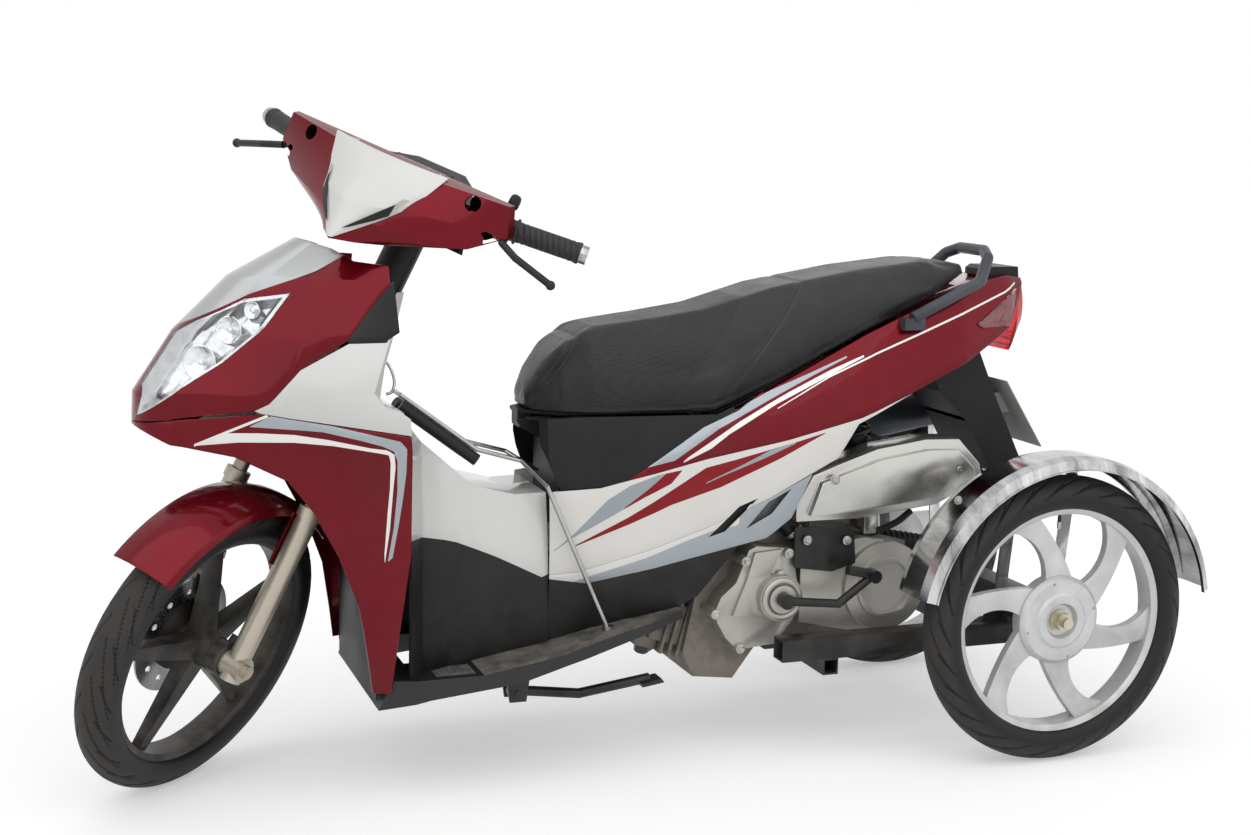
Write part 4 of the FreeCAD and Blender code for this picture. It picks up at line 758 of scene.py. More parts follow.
@dataclass(frozen=True)
class Dusty(Finish):
    """A finish that road dust lies on."""

    dust: float = 0.1

    def settle(self, sheet: NodeSheet, shader: bpy.types.NodeInputs, place: Socket,
               colour: Term | Colour, rough: Term, level: float, scale: float) -> Socket:
        """Colour and roughness under dust.

        Args:
            sheet: the material's nodes.
            shader: what they feed.
            place: object coordinates.
            colour: the clean colour.
            rough: the clean roughness.
            level: height where the dust has thinned out, in metres.
            scale: how fine its clouds are.

        Returns:
            1 where dust covers the finish, 0 where it is clean.
        """
        dust = sheet.effect(Effects.dust(), Vector=place, Colour=colour, Dust_Colour=DUST,
                            Level=level, Scale=scale, Amount=self.dust, Roughness=rough)
        sheet.feed(shader, Base_Color=dust["Colour"], Roughness=dust["Roughness"])
        return dust["Mask"]


@dataclass(frozen=True)
class Lacquer(Dusty):
    """Body paint under clear lacquer, with metal flake, stripes and dust."""

    dust: float = 0.06
    colour: Colour = rgb(0.165, 0.0012, 0.0085)
    deep: Colour = rgb(0.078, 0.0008, 0.0045)
    flake: Colour = rgb(0.50, 0.012, 0.045)
    spark: float = 0.45
    metallic: float = 0.55
    roughness: float = 0.26
    gloss: float = 0.05
    stripes: tuple[Stripe, ...] = ()

    def lay_out(self, sheet: NodeSheet, shader: bpy.types.NodeInputs, place: Socket) -> None:
        """Flake, then stripes, then dust, under a lacquer with faint ripples."""
        flake = sheet.effect(Effects.flake(), Vector=place, Scale=900.0, Spark=self.spark,
                             Colour=self.colour, Deep_Colour=self.deep,
                             Flake_Colour=self.flake)
        colour = laid_on(sheet, place, flake["Colour"], self.stripes)
        self.settle(sheet, shader, place, colour, self.roughness, 0.75, 7.0)
        ripple = sheet.noise(place, 45.0, 2.0)
        sheet.feed(shader, Metallic=self.metallic, Specular_IOR_Level=self.gloss,
                   Coat_Weight=0.8, Coat_Roughness=0.03, Coat_IOR=1.27,
                   Normal=sheet.bump(ripple, 0.0006, 0.12))


@dataclass(frozen=True)
class Moulding(Dusty):
    """Moulded black or grey plastic with its grain and road dust."""

    colour: Colour = rgb(0.0065, 0.007, 0.008)
    faded: Colour = rgb(0.013, 0.0135, 0.0155)
    grain: float = 700.0
    depth: float = 0.00025
    roughness: float = 0.46
    level: float = 0.5

    def surface(self, sheet: NodeSheet, shader: bpy.types.NodeInputs,
                place: Socket) -> tuple[Socket, Socket]:
        """Grain of the bare plastic; returns its colour, faded in slow clouds, and roughness."""
        grain = sheet.effect(Effects.moulded(), Vector=place, Scale=self.grain,
                             Roughness=self.roughness)
        sheet.feed(shader, Normal=sheet.bump(grain["Height"], self.depth))
        fade = sheet.spread(grain["Shade"], 0.35, 0.75)
        return sheet.mixed(fade, self.colour, self.faded), grain["Roughness"]

    def lay_out(self, sheet: NodeSheet, shader: bpy.types.NodeInputs, place: Socket) -> None:
        """Grain, sun fade in slow clouds, and dust towards the floor."""
        colour, rough = self.surface(sheet, shader, place)
        self.settle(sheet, shader, place, colour, rough, self.level, 11.0)
        sheet.feed(shader, Specular_IOR_Level=0.24)


@dataclass(frozen=True)
class FloorMoulding(Moulding):
    """Plastic floor whose two mats are grey with worn dots."""

    mat: Colour = rgb(0.055, 0.054, 0.052)
    mat_low: float = 0.2128

    def lay_out(self, sheet: NodeSheet, shader: bpy.types.NodeInputs, place: Socket) -> None:
        """As other mouldings, with trodden dust over the mats."""
        colour, rough = self.surface(sheet, shader, place)
        tread = sheet.spread(sheet.noise(place, 26.0, 6.0, 0.7), 0.35, 0.7)
        trodden = sheet.mixed(sheet.times(tread, 0.6), self.mat, DUST)
        up = sheet.add("NewGeometry").outputs["Normal"]
        flat = sheet.spread(sheet.dot(up, (0, 0, 1)), 0.8, 0.95)
        high = sheet.math("GREATER_THAN", sheet.dot(place, (0, 0, 1)), self.mat_low)
        mask = sheet.times(flat, high)
        sheet.feed(shader, Base_Color=sheet.mixed(mask, colour, trodden),
                   Roughness=sheet.plus(rough, sheet.times(mask, 0.2)))


@dataclass(frozen=True)
class Casting(Dusty):
    """Cast light alloy, as poured or buffed, with oil stains."""

    dust: float = 0.3
    colour: Colour = rgb(0.43, 0.42, 0.39)
    stain_colour: Colour = rgb(0.10, 0.07, 0.045)
    metallic: float = 0.85
    roughness: float = 0.30
    scale: float = 300.0
    depth: float = 0.00012
    stain: float = 0.12

    def lay_out(self, sheet: NodeSheet, shader: bpy.types.NodeInputs, place: Socket) -> None:
        """Cast skin, stains that are not metallic, and dust."""
        skin = sheet.effect(Effects.casting(), Vector=place, Scale=self.scale,
                            Stain=self.stain, Roughness=self.roughness, Colour=self.colour,
                            Stain_Colour=self.stain_colour)
        dust = self.settle(sheet, shader, place, skin["Colour"], skin["Roughness"], 0.6, 16.0)
        covered = sheet.math("MAXIMUM", skin["Stain"], dust)
        sheet.feed(shader, Metallic=sheet.spread(covered, 0.0, 1.0, self.metallic, 0.05),
                   Normal=sheet.bump(skin["Height"], self.depth))


@dataclass(frozen=True)
class Plated(Finish):
    """Bright plating or bare steel, smeared and scuffed, with a little rust."""

    colour: Colour = rgb(0.60, 0.605, 0.62)
    roughness: float = 0.07
    rust: float = 0.04
    rust_scale: float = 22.0
    # how dark the drawn-out streaks are: partly tarnish, partly painted reflection
    streak: float = 0.35

    def lay_out(self, sheet: NodeSheet, shader: bpy.types.NodeInputs, place: Socket) -> None:
        """Handling marks over plating with dark drawn-out streaks, partly tarnish and partly
        painted reflection; rust takes the metal's shine away.
        """
        marks = sheet.effect(Effects.handling(), Vector=place, Scale=18.0,
                             Roughness=self.roughness)
        # dark drawn-out streaks: partly tarnish, partly painted reflection of dark surroundings
        drawn = sheet.noise(sheet.stretched(place, (30.0, 5.0, 7.0)), 1.0, 5.0, 0.65)
        tarnish_and_reflection = sheet.times(sheet.spread(drawn, 0.38, 0.66), self.streak)
        metal = sheet.mixed(tarnish_and_reflection, self.colour, darker(self.colour, 0.22))
        rust = sheet.effect(Effects.rust(), Vector=place, Scale=self.rust_scale,
                            Amount=self.rust, Colour=metal, Roughness=marks["Roughness"])
        low = sheet.bump(marks["Height"], 0.00004)
        sheet.feed(shader, Base_Color=rust["Colour"], Metallic=rust["Bare"],
                   Roughness=rust["Roughness"],
                   Normal=sheet.bump(rust["Height"], RUST_RELIEF, below=low))


@dataclass(frozen=True)
class Enamel(Dusty):
    """Brushed or sprayed enamel on steel, chipped to rust along its wear."""

    dust: float = 0.16
    colour: Colour = rgb(0.007, 0.0075, 0.009)
    roughness: float = 0.30
    chips: float = 0.07
    metallic: float = 0.0

    def lay_out(self, sheet: NodeSheet, shader: bpy.types.NodeInputs, place: Socket) -> None:
        """Enamel with an uneven skin, rust chips and dust."""
        rust = sheet.effect(Effects.rust(), Vector=place, Scale=30.0, Amount=self.chips,
                            Colour=self.colour, Roughness=self.roughness)
        self.settle(sheet, shader, place, rust["Colour"], rust["Roughness"], 0.55, 14.0)
        low = sheet.bump(sheet.noise(place, 320.0, 3.0), 0.0002, 0.5)
        sheet.feed(shader, Metallic=self.metallic, Specular_IOR_Level=0.3,
                   Normal=sheet.bump(rust["Height"], RUST_RELIEF, below=low))


@dataclass(frozen=True)
class Rubber(Finish):
    """Tyre rubber: dusty where it meets the road, blacker on the walls and in the cuts."""

    colour: Colour = rgb(0.009, 0.009, 0.0095)
    worn: Colour = rgb(0.052, 0.048, 0.044)
    roughness: float = 0.62
    attribute: str = ""

    def lay_out(self, sheet: NodeSheet, shader: bpy.types.NodeInputs, place: Socket) -> None:
        """Wear follows the piece's own attribute where it has one."""
        cloud = sheet.spread(sheet.noise(place, 24.0, 6.0, 0.68), 0.3, 0.75)
        if self.attribute:
            wear = sheet.add("Attribute", attribute_name=self.attribute)
            share = sheet.times(wear.outputs["Fac"], sheet.spread(cloud, 0.0, 1.0, 0.45, 1.0))
        else:
            share = sheet.times(cloud, 0.35)
        fine = sheet.noise(place, 900.0, 3.0)
        sheet.feed(shader, Base_Color=sheet.mixed(share, self.colour, self.worn),
                   Roughness=sheet.spread(share, 0.0, 1.0, self.roughness - 0.16,
                                          self.roughness + 0.14),
                   Specular_IOR_Level=0.3, Normal=sheet.bump(fine, 0.0002, 0.6))


@dataclass(frozen=True)
class GripRubber(Finish):
    """Black grip with slanting grooves wound round it, their bottoms painted near-black as
    painted shade.
    """

    axis: Place = (0.0, 1.0, 0.0)
    side: Place = (1.0, 0.0, 0.0)
    other: Place = (0.0, 0.0, 1.0)
    middle: Place = (0.0, 0.0, 0.0)

    def lay_out(self, sheet: NodeSheet, shader: bpy.types.NodeInputs, place: Socket) -> None:
        """Grooves = sine of (distance along the grip + turn about it)."""
        own = sheet.vector("SUBTRACT", place, self.middle).outputs[0]
        along = sheet.dot(own, self.axis)
        turn = sheet.math("ARCTAN2", sheet.dot(own, self.side), sheet.dot(own, self.other))
        phase = sheet.plus(sheet.times(along, 620.0), sheet.times(turn, 3.0))
        ridge = sheet.spread(sheet.math("SINE", phase), -0.75, 0.1)
        cloud = sheet.noise(place, 60.0, 4.0)
        base = sheet.mixed(sheet.spread(cloud, 0.4, 0.8), rgb(0.013, 0.013, 0.014),
                           rgb(0.035, 0.034, 0.033))
        # the groove bottoms are painted near-black: painted shade in the grooves
        sheet.feed(shader, Base_Color=sheet.mixed(ridge, PAINTED_PIT_SHADE, base),
                   Roughness=sheet.spread(cloud, 0.3, 0.7, 0.5, 0.66),
                   Normal=sheet.bump(ridge, 0.0012))


@dataclass(frozen=True)
class Hide(Finish):
    """Black coated cloth of the cushion: pierced and grained in front, smooth behind."""

    colour: Colour = rgb(0.0065, 0.0068, 0.0080)
    scuffed: Colour = rgb(0.036, 0.035, 0.034)
    front_line: Place = (0.757, 0.0, 0.653)
    front_level: float = 0.42
    nose_line: Place = (0.82, 0.0, 0.572)
    nose_level: float = 0.56

    def lay_out(self, sheet: NodeSheet, shader: bpy.types.NodeInputs, place: Socket) -> None:
        """Cells of the coating, pierced dots between the two seams, scuffs on the crown."""
        cell = sheet.cells(place, 520.0, 1.0, "DISTANCE_TO_EDGE")
        crease = sheet.spread(cell, 0.0, 0.18)
        dots = sheet.spread(sheet.cells(place, 330.0, 0.25), 0.20, 0.34)
        behind = sheet.math("GREATER_THAN", sheet.dot(place, self.front_line),
                            self.front_level)
        before = sheet.math("LESS_THAN", sheet.dot(place, self.nose_line), self.nose_level)
        pierced = sheet.times(behind, before)
        holes = sheet.times(sheet.minus(1.0, dots), pierced)
        scuff = sheet.spread(sheet.noise(place, 12.0, 6.0, 0.66), 0.42, 0.8)
        base = sheet.mixed(sheet.times(scuff, 0.55), self.colour, self.scuffed)
        rough = sheet.spread(scuff, 0.0, 1.0, 0.28, 0.44)
        fine = sheet.bump(crease, 0.00018, 0.7)
        # the pierced holes are painted near-black: painted shade, over their real sunken relief
        sheet.feed(shader, Base_Color=sheet.mixed(holes, base, PAINTED_PIT_SHADE),
                   Roughness=sheet.plus(rough, sheet.times(pierced, 0.10)),
                   Specular_IOR_Level=0.4,
                   Normal=sheet.bump(sheet.minus(1.0, holes), 0.0006, 0.9, fine))


@dataclass(frozen=True)
class Lens(Finish):
    """Moulded clear or coloured lens with upright flutes inside."""

    colour: Colour = rgb(1.0, 1.0, 1.0)
    roughness: float = 0.03
    flutes: float = 0.0
    depth: float = 0.00005

    def lay_out(self, sheet: NodeSheet, shader: bpy.types.NodeInputs, place: Socket) -> None:
        """Flutes run lengthwise; a haze of fine scratches dulls the face."""
        haze = sheet.noise(place, 70.0, 6.0, 0.7)
        relief = haze
        if self.flutes:
            across = sheet.dot(place, (0.45, 0, 0.9))
            relief = sheet.math("ABSOLUTE", sheet.math("SINE", sheet.times(across,
                                                                           self.flutes)))
        sheet.feed(shader, Transmission_Weight=1.0, IOR=1.46,
                   Base_Color=sheet.mixed(sheet.spread(haze, 0.45, 0.9), self.colour,
                                          darker(self.colour, 0.93)),
                   Roughness=sheet.spread(haze, 0.35, 0.8, self.roughness,
                                          self.roughness + 0.09),
                   Normal=sheet.bump(relief, self.depth))


@dataclass(frozen=True)
class Mirror(Finish):
    """Vapour-plated reflector with fine facets."""

    colour: Colour = rgb(0.86, 0.87, 0.88)
    facets: float = 90.0

    def lay_out(self, sheet: NodeSheet, shader: bpy.types.NodeInputs, place: Socket) -> None:
        """Facets = cells of a slow grid; a thin haze lies over them."""
        haze = sheet.noise(place, 40.0, 4.0)
        facet = sheet.cells(place, self.facets, 0.3)
        sheet.feed(shader, Metallic=1.0, Roughness=sheet.spread(haze, 0.3, 0.7, 0.06, 0.16),
                   Base_Color=sheet.mixed(sheet.spread(haze, 0.3, 0.8), self.colour,
                                          rgb(0.62, 0.64, 0.66)),
                   Normal=sheet.bump(facet, 0.0015, 0.5))


@dataclass(frozen=True)
class Sheen(Finish):
    """Even part finish with mottled colour, for threads, marks and small parts."""

    colour: Colour = rgb(0.5, 0.5, 0.5)
    other: Colour = rgb(0.4, 0.4, 0.4)
    metallic: float = 0.0
    roughness: float = 0.4
    scale: float = 120.0
    depth: float = 0.0001

    def lay_out(self, sheet: NodeSheet, shader: bpy.types.NodeInputs, place: Socket) -> None:
        """Colour and roughness drift together with one noise."""
        cloud = sheet.noise(place, self.scale, 4.0)
        sheet.feed(shader, Metallic=self.metallic,
                   Base_Color=sheet.mixed(sheet.spread(cloud, 0.35, 0.7), self.colour,
                                          self.other),
                   Roughness=sheet.spread(cloud, 0.3, 0.7, self.roughness,
                                          self.roughness + 0.12),
                   Normal=sheet.bump(cloud, self.depth))


# stripes of the leg shield, the tail, the side covers and their fins
SHIELD_STRIPES = (
    Stripe(STRIPE_GREY, (
        Band(Run.ALONG, ((1180, 598), (1201, 605), (1218, 613), (1251, 622), (1311, 636),
                         (1348, 639), (1422, 642)),
             ((1180, 609), (1190, 621), (1236, 632), (1296, 646), (1345, 654), (1391, 661),
              (1422, 643))),
        Band(Run.UP, ((420, 1208), (426, 1202), (488, 1191.7), (530, 1185.7), (570, 1181),
                      (606, 1180)),
             ((420, 1209.6), (428, 1208), (475, 1200.6), (537, 1195), (589, 1194.9),
              (606, 1201))))),
    Stripe(STRIPE_WHITE, (
        Band(Run.ALONG, ((1199.6, 590), (1206, 590), (1208.6, 598.6), (1223.7, 601.6),
                         (1296, 613.2), (1356, 618.2), (1440, 615.5), (1507, 607.5)),
             ((1199.6, 598.7), (1206, 604), (1211.6, 606.7), (1236, 609.6), (1302, 623),
              (1356, 631.2), (1410, 632), (1455, 630.5), (1507, 608.5))),
        Band(Run.UP, ((418, 1213.6), (428, 1212.5), (471, 1206.7), (537, 1201.8),
                      (579, 1198), (600, 1199.6)),
             ((418, 1214.4), (431, 1214.7), (504, 1209.9), (543, 1206.5), (586, 1205.6),
              (600, 1208.6))),
        Band(Run.ALONG, ((1395, 659), (1507, 606)), ((1395, 664), (1507, 610.5))))),
)
TAIL_STRIPES = (
    Stripe(STRIPE_GREY, (
        Band(Run.ALONG, ((345, 730), (412, 699.5), (483, 665.4), (599, 609.7), (684, 557),
                         (757, 541)),
             ((345, 733), (419, 703), (493, 674.6), (617, 618.9), (740, 554),
              (757, 543))),)),
    Stripe(STRIPE_WHITE, (
        Band(Run.ALONG, ((313, 731), (415, 683.5), (486, 650.8), (581, 599.8), (616, 576),
                         (668, 553)),
             ((313, 734.5), (379, 708.5), (463, 669.9), (559, 621.7), (659, 562),
              (668, 555))),
        Band(Run.ALONG, ((-40, 856), (-9, 840), (97, 804.8), (195, 768.3), (288, 735),
                         (382, 695.8), (486, 642)),
             ((-40, 859.5), (-9, 843.6), (97, 808.6), (195, 772.1), (288, 738.4),
              (382, 698.6), (486, 643.6))))),
)
SIDE_STRIPES = (
    Stripe(STRIPE_GREY, (
        Band(Run.ALONG, ((672, 539), (700, 515), (735, 506.4), (776, 474), (820, 449),
                         (864, 425), (898, 400)),
             ((672, 540), (701, 535.5), (716, 532.5), (765, 514.9), (806, 489.6),
              (864, 430.8), (898, 402))),)),
    Stripe(STRIPE_RED, (
        Band(Run.ALONG, ((672, 538.5), (692, 517), (740, 494), (776, 474)),
             ((672, 540), (701, 534.6), (735.5, 506.4), (776, 476))),
        Band(Run.ALONG, ((400, 597), (485, 557), (601, 508), (694, 478.8), (769, 446),
                         (861, 409)),
             ((400, 598.5), (458, 583), (505, 572), (570, 556), (627, 543), (655, 526.7),
              (769, 459), (861, 411))))),
    Stripe(STRIPE_GREY, (
        Band(Run.ALONG, ((458, 581), (520, 556), (596, 528), (628, 515)),
             ((458, 583), (506, 571), (560, 546), (628, 517))),)),
)
FIN_STRIPES = (
    Stripe(FIN_GREY, (
        Band(Run.ALONG, ((400, 330), (905, 330)),
             ((400, 560), (563, 560), (564, 442), (572, 437), (611, 431), (662, 414),
              (738, 384.5), (841, 352), (905, 332))),)),
)


class Finishes:
    """Every finish of the trike by its own name."""

    red = Lacquer("crimson lacquer")
    shield_red = Lacquer("shield lacquer", stripes=SHIELD_STRIPES)
    tail_red = Lacquer("tail lacquer", stripes=TAIL_STRIPES)
    white = Lacquer("pearl lacquer", colour=rgb(0.72, 0.72, 0.70), deep=rgb(0.60, 0.60, 0.59),
                    flake=rgb(0.88, 0.88, 0.88), spark=0.4, metallic=0.15, roughness=0.3)
    side_white = Lacquer("side lacquer", colour=rgb(0.80, 0.79, 0.755),
                         deep=rgb(0.72, 0.71, 0.68), flake=rgb(0.88, 0.87, 0.85), spark=0.35,
                         metallic=0.0, roughness=0.3, stripes=SIDE_STRIPES)
    fin_white = replace(side_white, name="fin lacquer", stripes=FIN_STRIPES)
    silver = Lacquer("silver lacquer", colour=rgb(0.46, 0.47, 0.475), deep=rgb(0.38, 0.39, 0.4),
                     flake=rgb(0.75, 0.75, 0.76), spark=0.6, metallic=0.5, roughness=0.36)
    rim_silver = Casting("painted rim", colour=rgb(0.62, 0.63, 0.645), metallic=0.6,
                         roughness=0.34, scale=420.0, depth=0.00005, stain=0.04, dust=0.5,
                         stain_colour=rgb(0.20, 0.17, 0.14))
    black = Moulding("black moulding")
    trim_black = Moulding("smooth black moulding", grain=1100.0, depth=0.0001, roughness=0.34,
                          dust=0.2)
    rail_grey = Moulding("slate moulding", colour=rgb(0.045, 0.050, 0.062),
                         faded=rgb(0.10, 0.108, 0.125), grain=900.0, depth=0.00008,
                         roughness=0.26, dust=0.1)
    floor = FloorMoulding("floor moulding")
    cast = Casting("cast alloy")
    grey_cast = Casting("weathered casting", colour=rgb(0.19, 0.175, 0.155), stain=0.34,
                        stain_colour=rgb(0.035, 0.026, 0.018), roughness=0.44, scale=180.0,
                        depth=0.0003, dust=0.5)
    polished = Casting("buffed cover", colour=rgb(0.52, 0.515, 0.49), roughness=0.11,
                       scale=40.0, depth=0.00003, stain=0.05, dust=0.2)
    black_cast = Enamel("black casting", roughness=0.38, chips=0.03, dust=0.35)
    fork = Casting("champagne alloy", colour=rgb(0.50, 0.45, 0.375), metallic=0.75,
                   roughness=0.28, scale=500.0, depth=0.00006, stain=0.05, dust=0.2)
    # strong dark streaks on the chrome: partly painted reflection, partly tarnish
    chrome = Plated("bright chrome", colour=rgb(0.60, 0.602, 0.61), streak=0.78)
    zinc = Plated("zinc plate", colour=rgb(0.60, 0.56, 0.44), roughness=0.26, rust=0.14)
    steel = Plated("bare steel", colour=rgb(0.46, 0.45, 0.43), roughness=0.25, rust=0.16,
                   rust_scale=40.0)
    disc = Plated("disc steel", colour=rgb(0.42, 0.42, 0.42), roughness=0.22, rust=0.16,
                  rust_scale=30.0)
    enamel = Enamel("black enamel")
    exhaust = Enamel("silencer enamel", colour=rgb(0.035, 0.043, 0.055), roughness=0.3,
                     chips=0.06, dust=0.3, metallic=0.3)
    tyre = Rubber("tyre rubber", attribute="worn")
    pad_rubber = Rubber("padded tube", colour=rgb(0.008, 0.008, 0.008),
                        worn=rgb(0.02, 0.02, 0.02), roughness=0.34)
    hide = Hide("seat cover")
    thread = Sheen("seat thread", colour=rgb(0.16, 0.16, 0.165), other=rgb(0.09, 0.09, 0.09),
                   roughness=0.7, scale=900.0)
    clear = Lens("clear lens")
    fluted = Lens("fluted lens", colour=rgb(0.99, 0.93, 0.93), flutes=520.0, depth=0.00012)
    ruby = Lens("ruby lens", colour=rgb(0.70, 0.02, 0.03), flutes=900.0, depth=0.0004)
    mirror = Mirror("reflector", colour=rgb(0.42, 0.43, 0.44), facets=46.0)
    dish = Mirror("reflector dish", facets=70.0)
    # pearl lacquer darkened as painted shade, for the plate on the visor's lower lip
    shaded_lip_white = Lacquer("folded lip lacquer", colour=rgb(0.52, 0.515, 0.49),
                        deep=rgb(0.42, 0.415, 0.40), flake=rgb(0.8, 0.8, 0.79), spark=0.35,
                        metallic=0.1, roughness=0.34)
    bulb = Sheen("bulb glass", colour=rgb(0.82, 0.83, 0.84), other=rgb(0.65, 0.66, 0.68),
                 metallic=0.9, roughness=0.08)
    plate = Enamel("bare plate", colour=rgb(0.50, 0.50, 0.48), roughness=0.4, chips=0.16,
                   dust=0.6)
    paper = Sheen("dial face", colour=rgb(0.012, 0.012, 0.014), other=rgb(0.02, 0.02, 0.022),
                  roughness=0.5)
    marks = Sheen("dial marks", colour=rgb(0.8, 0.8, 0.78), other=rgb(0.7, 0.7, 0.68),
                  roughness=0.5)
    mesh_grey = Sheen("mesh wire", colour=rgb(0.16, 0.16, 0.155), other=rgb(0.07, 0.07, 0.068),
                      metallic=0.3, roughness=0.45, scale=240.0)
    cream = Sheen("cream plastic", colour=rgb(0.62, 0.58, 0.47), other=rgb(0.5, 0.45, 0.35),
                  roughness=0.42, scale=90.0)


# the finish that each solid takes
NODE_FINISHES: dict[str, Finish] = {node: finish for finish, nodes in (
    (Finishes.enamel, "main_frame shock_absorber kick_lever engine_bracket kit_frame "
                      "stand_bracket side_stand fork_stem"),
    (Finishes.shield_red, "front_shield"),
    (Finishes.red, "nose_cowl front_fender bar_cover"),
    (Finishes.silver, "nose_panel"),
    (Finishes.clear, "headlight_lenses"),
    (Finishes.mirror, "headlight_bowls"),
    (Finishes.white, "leg_cover visor"),
    (Finishes.black, "tunnel_sides inner_liner lower_sides seat_skirt rear_mudguard storage_tub "
                     "seat_pan grips rear_cover"),
    (Finishes.trim_black, "glove_pockets tail_trim"),
    (Finishes.floor, "floorboard"),
    (Finishes.side_white, "side_covers"),
    (Finishes.fin_white, "side_fins"),
    (Finishes.tail_red, "tail_cover"),
    (Finishes.fluted, "tail_lamps"),
    (Finishes.ruby, "tail_light"),
    (Finishes.rail_grey, "grab_rail"),
    (Finishes.plate, "number_plate"),
    (Finishes.grey_cast, "engine_block brake_caliper"),
    (Finishes.cast, "crank_cover belt_cover"),
    (Finishes.polished, "air_box"),
    (Finishes.exhaust, "exhaust"),
    (Finishes.zinc, "rear_axle"),
    (Finishes.chrome, "rear_fenders handlebar"),
    (Finishes.steel, "carrier_rack"),
    (Finishes.pad_rubber, "rack_pads"),
    (Finishes.fork, "fork_legs"),
    (Finishes.black_cast, "speedometer_drive levers front_rim"),
    (Finishes.disc, "front_disc"),
    (Finishes.rim_silver, "rear_rim_left rear_rim_right"),
    (Finishes.hide, "seat_cushion"),
    (Finishes.tyre, "front_tyre rear_tyre_left rear_tyre_right"),
) for node in nodes.split()}


def dress_solids() -> None:
    """Put each solid's finish into its material slots."""
    for name, node in frame["nodes"].items():
        finish = NODE_FINISHES[name].material()
        for holder in [node] + list(node.children_recursive):
            if holder.type == "MESH":
                if not holder.material_slots:
                    holder.data.materials.append(finish)
                for slot in holder.material_slots:
                    slot.material = finish
    LOG.info("%d solids dressed", len(frame["nodes"]))


# ------------------------------------------------------------------ light and camera
@dataclass(frozen=True)
class Lamp:
    """Far soft lamp, spread over some degrees of the sky, that looks at the trike."""

    name: str
    eye: Place
    power: float
    spread: float


@dataclass
class Studio:
    """Camera, pale floor and soft lamps; lengths in metres."""

    eye: Place = (1.13519, 3.0236, 1.1276)
    right: Place = (-0.93980, 0.34115, 0.01965)
    up: Place = (-0.03556, -0.15483, 0.98730)
    forward: Place = (-0.33986, -0.92717, -0.15764)
    lens: float = 51.41
    floor_size: float = 60.0
    floor_glow: float = 0.36
    sky_light: float = 0.5
    aim: Place = (0.0, 0.0, 0.45)
    lamps: tuple[Lamp, ...] = (Lamp("key", (1.6, 2.6, 4.6), 1.2, 82.0),
                               Lamp("fill", (-3.6, 3.4, 2.0), 0.36, 70.0))

    def camera(self) -> None:
        """Level-headed camera a little in front of the left side."""
        data = bpy.data.cameras.new("camera")
        data.lens = self.lens
        data.sensor_width = 36.0
        data.clip_end = 200.0
        holder = linked("camera", data)
        turn = Matrix((self.right, self.up, tuple(-v for v in self.forward))).transposed()
        holder.matrix_world = Matrix.Translation(self.eye) @ turn.to_4x4()
        bpy.context.scene.camera = holder

    def _seen(self, sheet: NodeSheet) -> Socket:
        """1 for rays of the camera and of mirrors and glass."""
        path = sheet.add("LightPath").outputs
        bright = sheet.math("MAXIMUM", path["Is Camera Ray"], path["Is Glossy Ray"])
        return sheet.math("MAXIMUM", bright, path["Is Transmission Ray"])

    def sky(self) -> None:
        """White to the eye and in reflections, softer as a light."""
        world = bpy.data.worlds.new("sky")
        bpy.context.scene.world = world
        sheet = NodeSheet.cleared(world)
        dome = sheet.add("Background")
        sheet.feed(dome.inputs, Color=WHITE,
                   Strength=sheet.spread(self._seen(sheet), 0.0, 1.0, self.sky_light, 1.0))
        sheet.feed(sheet.add("OutputWorld").inputs, Surface=dome.outputs[0])

    def floor(self) -> None:
        """Pale floor that keeps the trike's shadow."""
        half = self.floor_size / 2
        mesh = bpy.data.meshes.new("floor")
        mesh.from_pydata([(-half, -half, 0), (half, -half, 0), (half, half, 0),
                          (-half, half, 0)], [], [(0, 1, 2, 3)])
        material = bpy.data.materials.new("pale floor")
        sheet = NodeSheet.cleared(material)
        shader = sheet.principled()
        cloud = sheet.noise(sheet.place(), 0.8, 2.0)
        sheet.feed(shader, Roughness=0.9, Emission_Strength=self.floor_glow,
                   Base_Color=sheet.mixed(cloud, rgb(0.80, 0.80, 0.80), rgb(0.82, 0.82, 0.82)),
                   Emission_Color=sheet.mixed(self._seen(sheet), rgb(0, 0, 0), WHITE))
        mesh.materials.append(material)
        linked("floor", mesh)

    def light(self) -> None:
        """Hang the lamps."""
        for lamp in self.lamps:
            data = bpy.data.lights.new(lamp.name, "SUN")
            data.energy = lamp.power
            data.angle = math.radians(lamp.spread)
            holder = linked(lamp.name, data)
            holder.location = lamp.eye
            way = Vector(self.aim) - Vector(lamp.eye)
            holder.rotation_euler = way.to_track_quat("-Z", "Y").to_euler()

    def build(self) -> None:
        """Camera first, then sky, floor and lamps."""
        self.camera()
        self.sky()
        self.floor()
        self.light()
        bpy.context.scene.view_settings.view_transform = "Standard"


# ------------------------------------------------------------------ eased panels
@dataclass(frozen=True)
class Easing:
    """How a panel's moulded edges are eased.

    round_off is the width of the round in millimetres, crease the angle in degrees from
    which an edge is rounded, and flow the angle up to which the shading runs on over an edge.
    """

    round_off: float
    crease: float
    flow: float


# faces that meet at less than this, in degrees, are one
FLAT_ANGLE = 0.4
SMOOTH_PANEL = Easing(1.3, 30.0, 30.0)
CRISP_PANEL = Easing(1.0, 24.0, 12.0)
CASTING_EDGE = Easing(1.6, 24.0, 30.0)
THIN_SHEET = Easing(0.5, 40.0, 34.0)
RIM_EDGE = Easing(1.2, 24.0, 30.0)
INNER_EDGE = Easing(0.8, 30.0, 30.0)


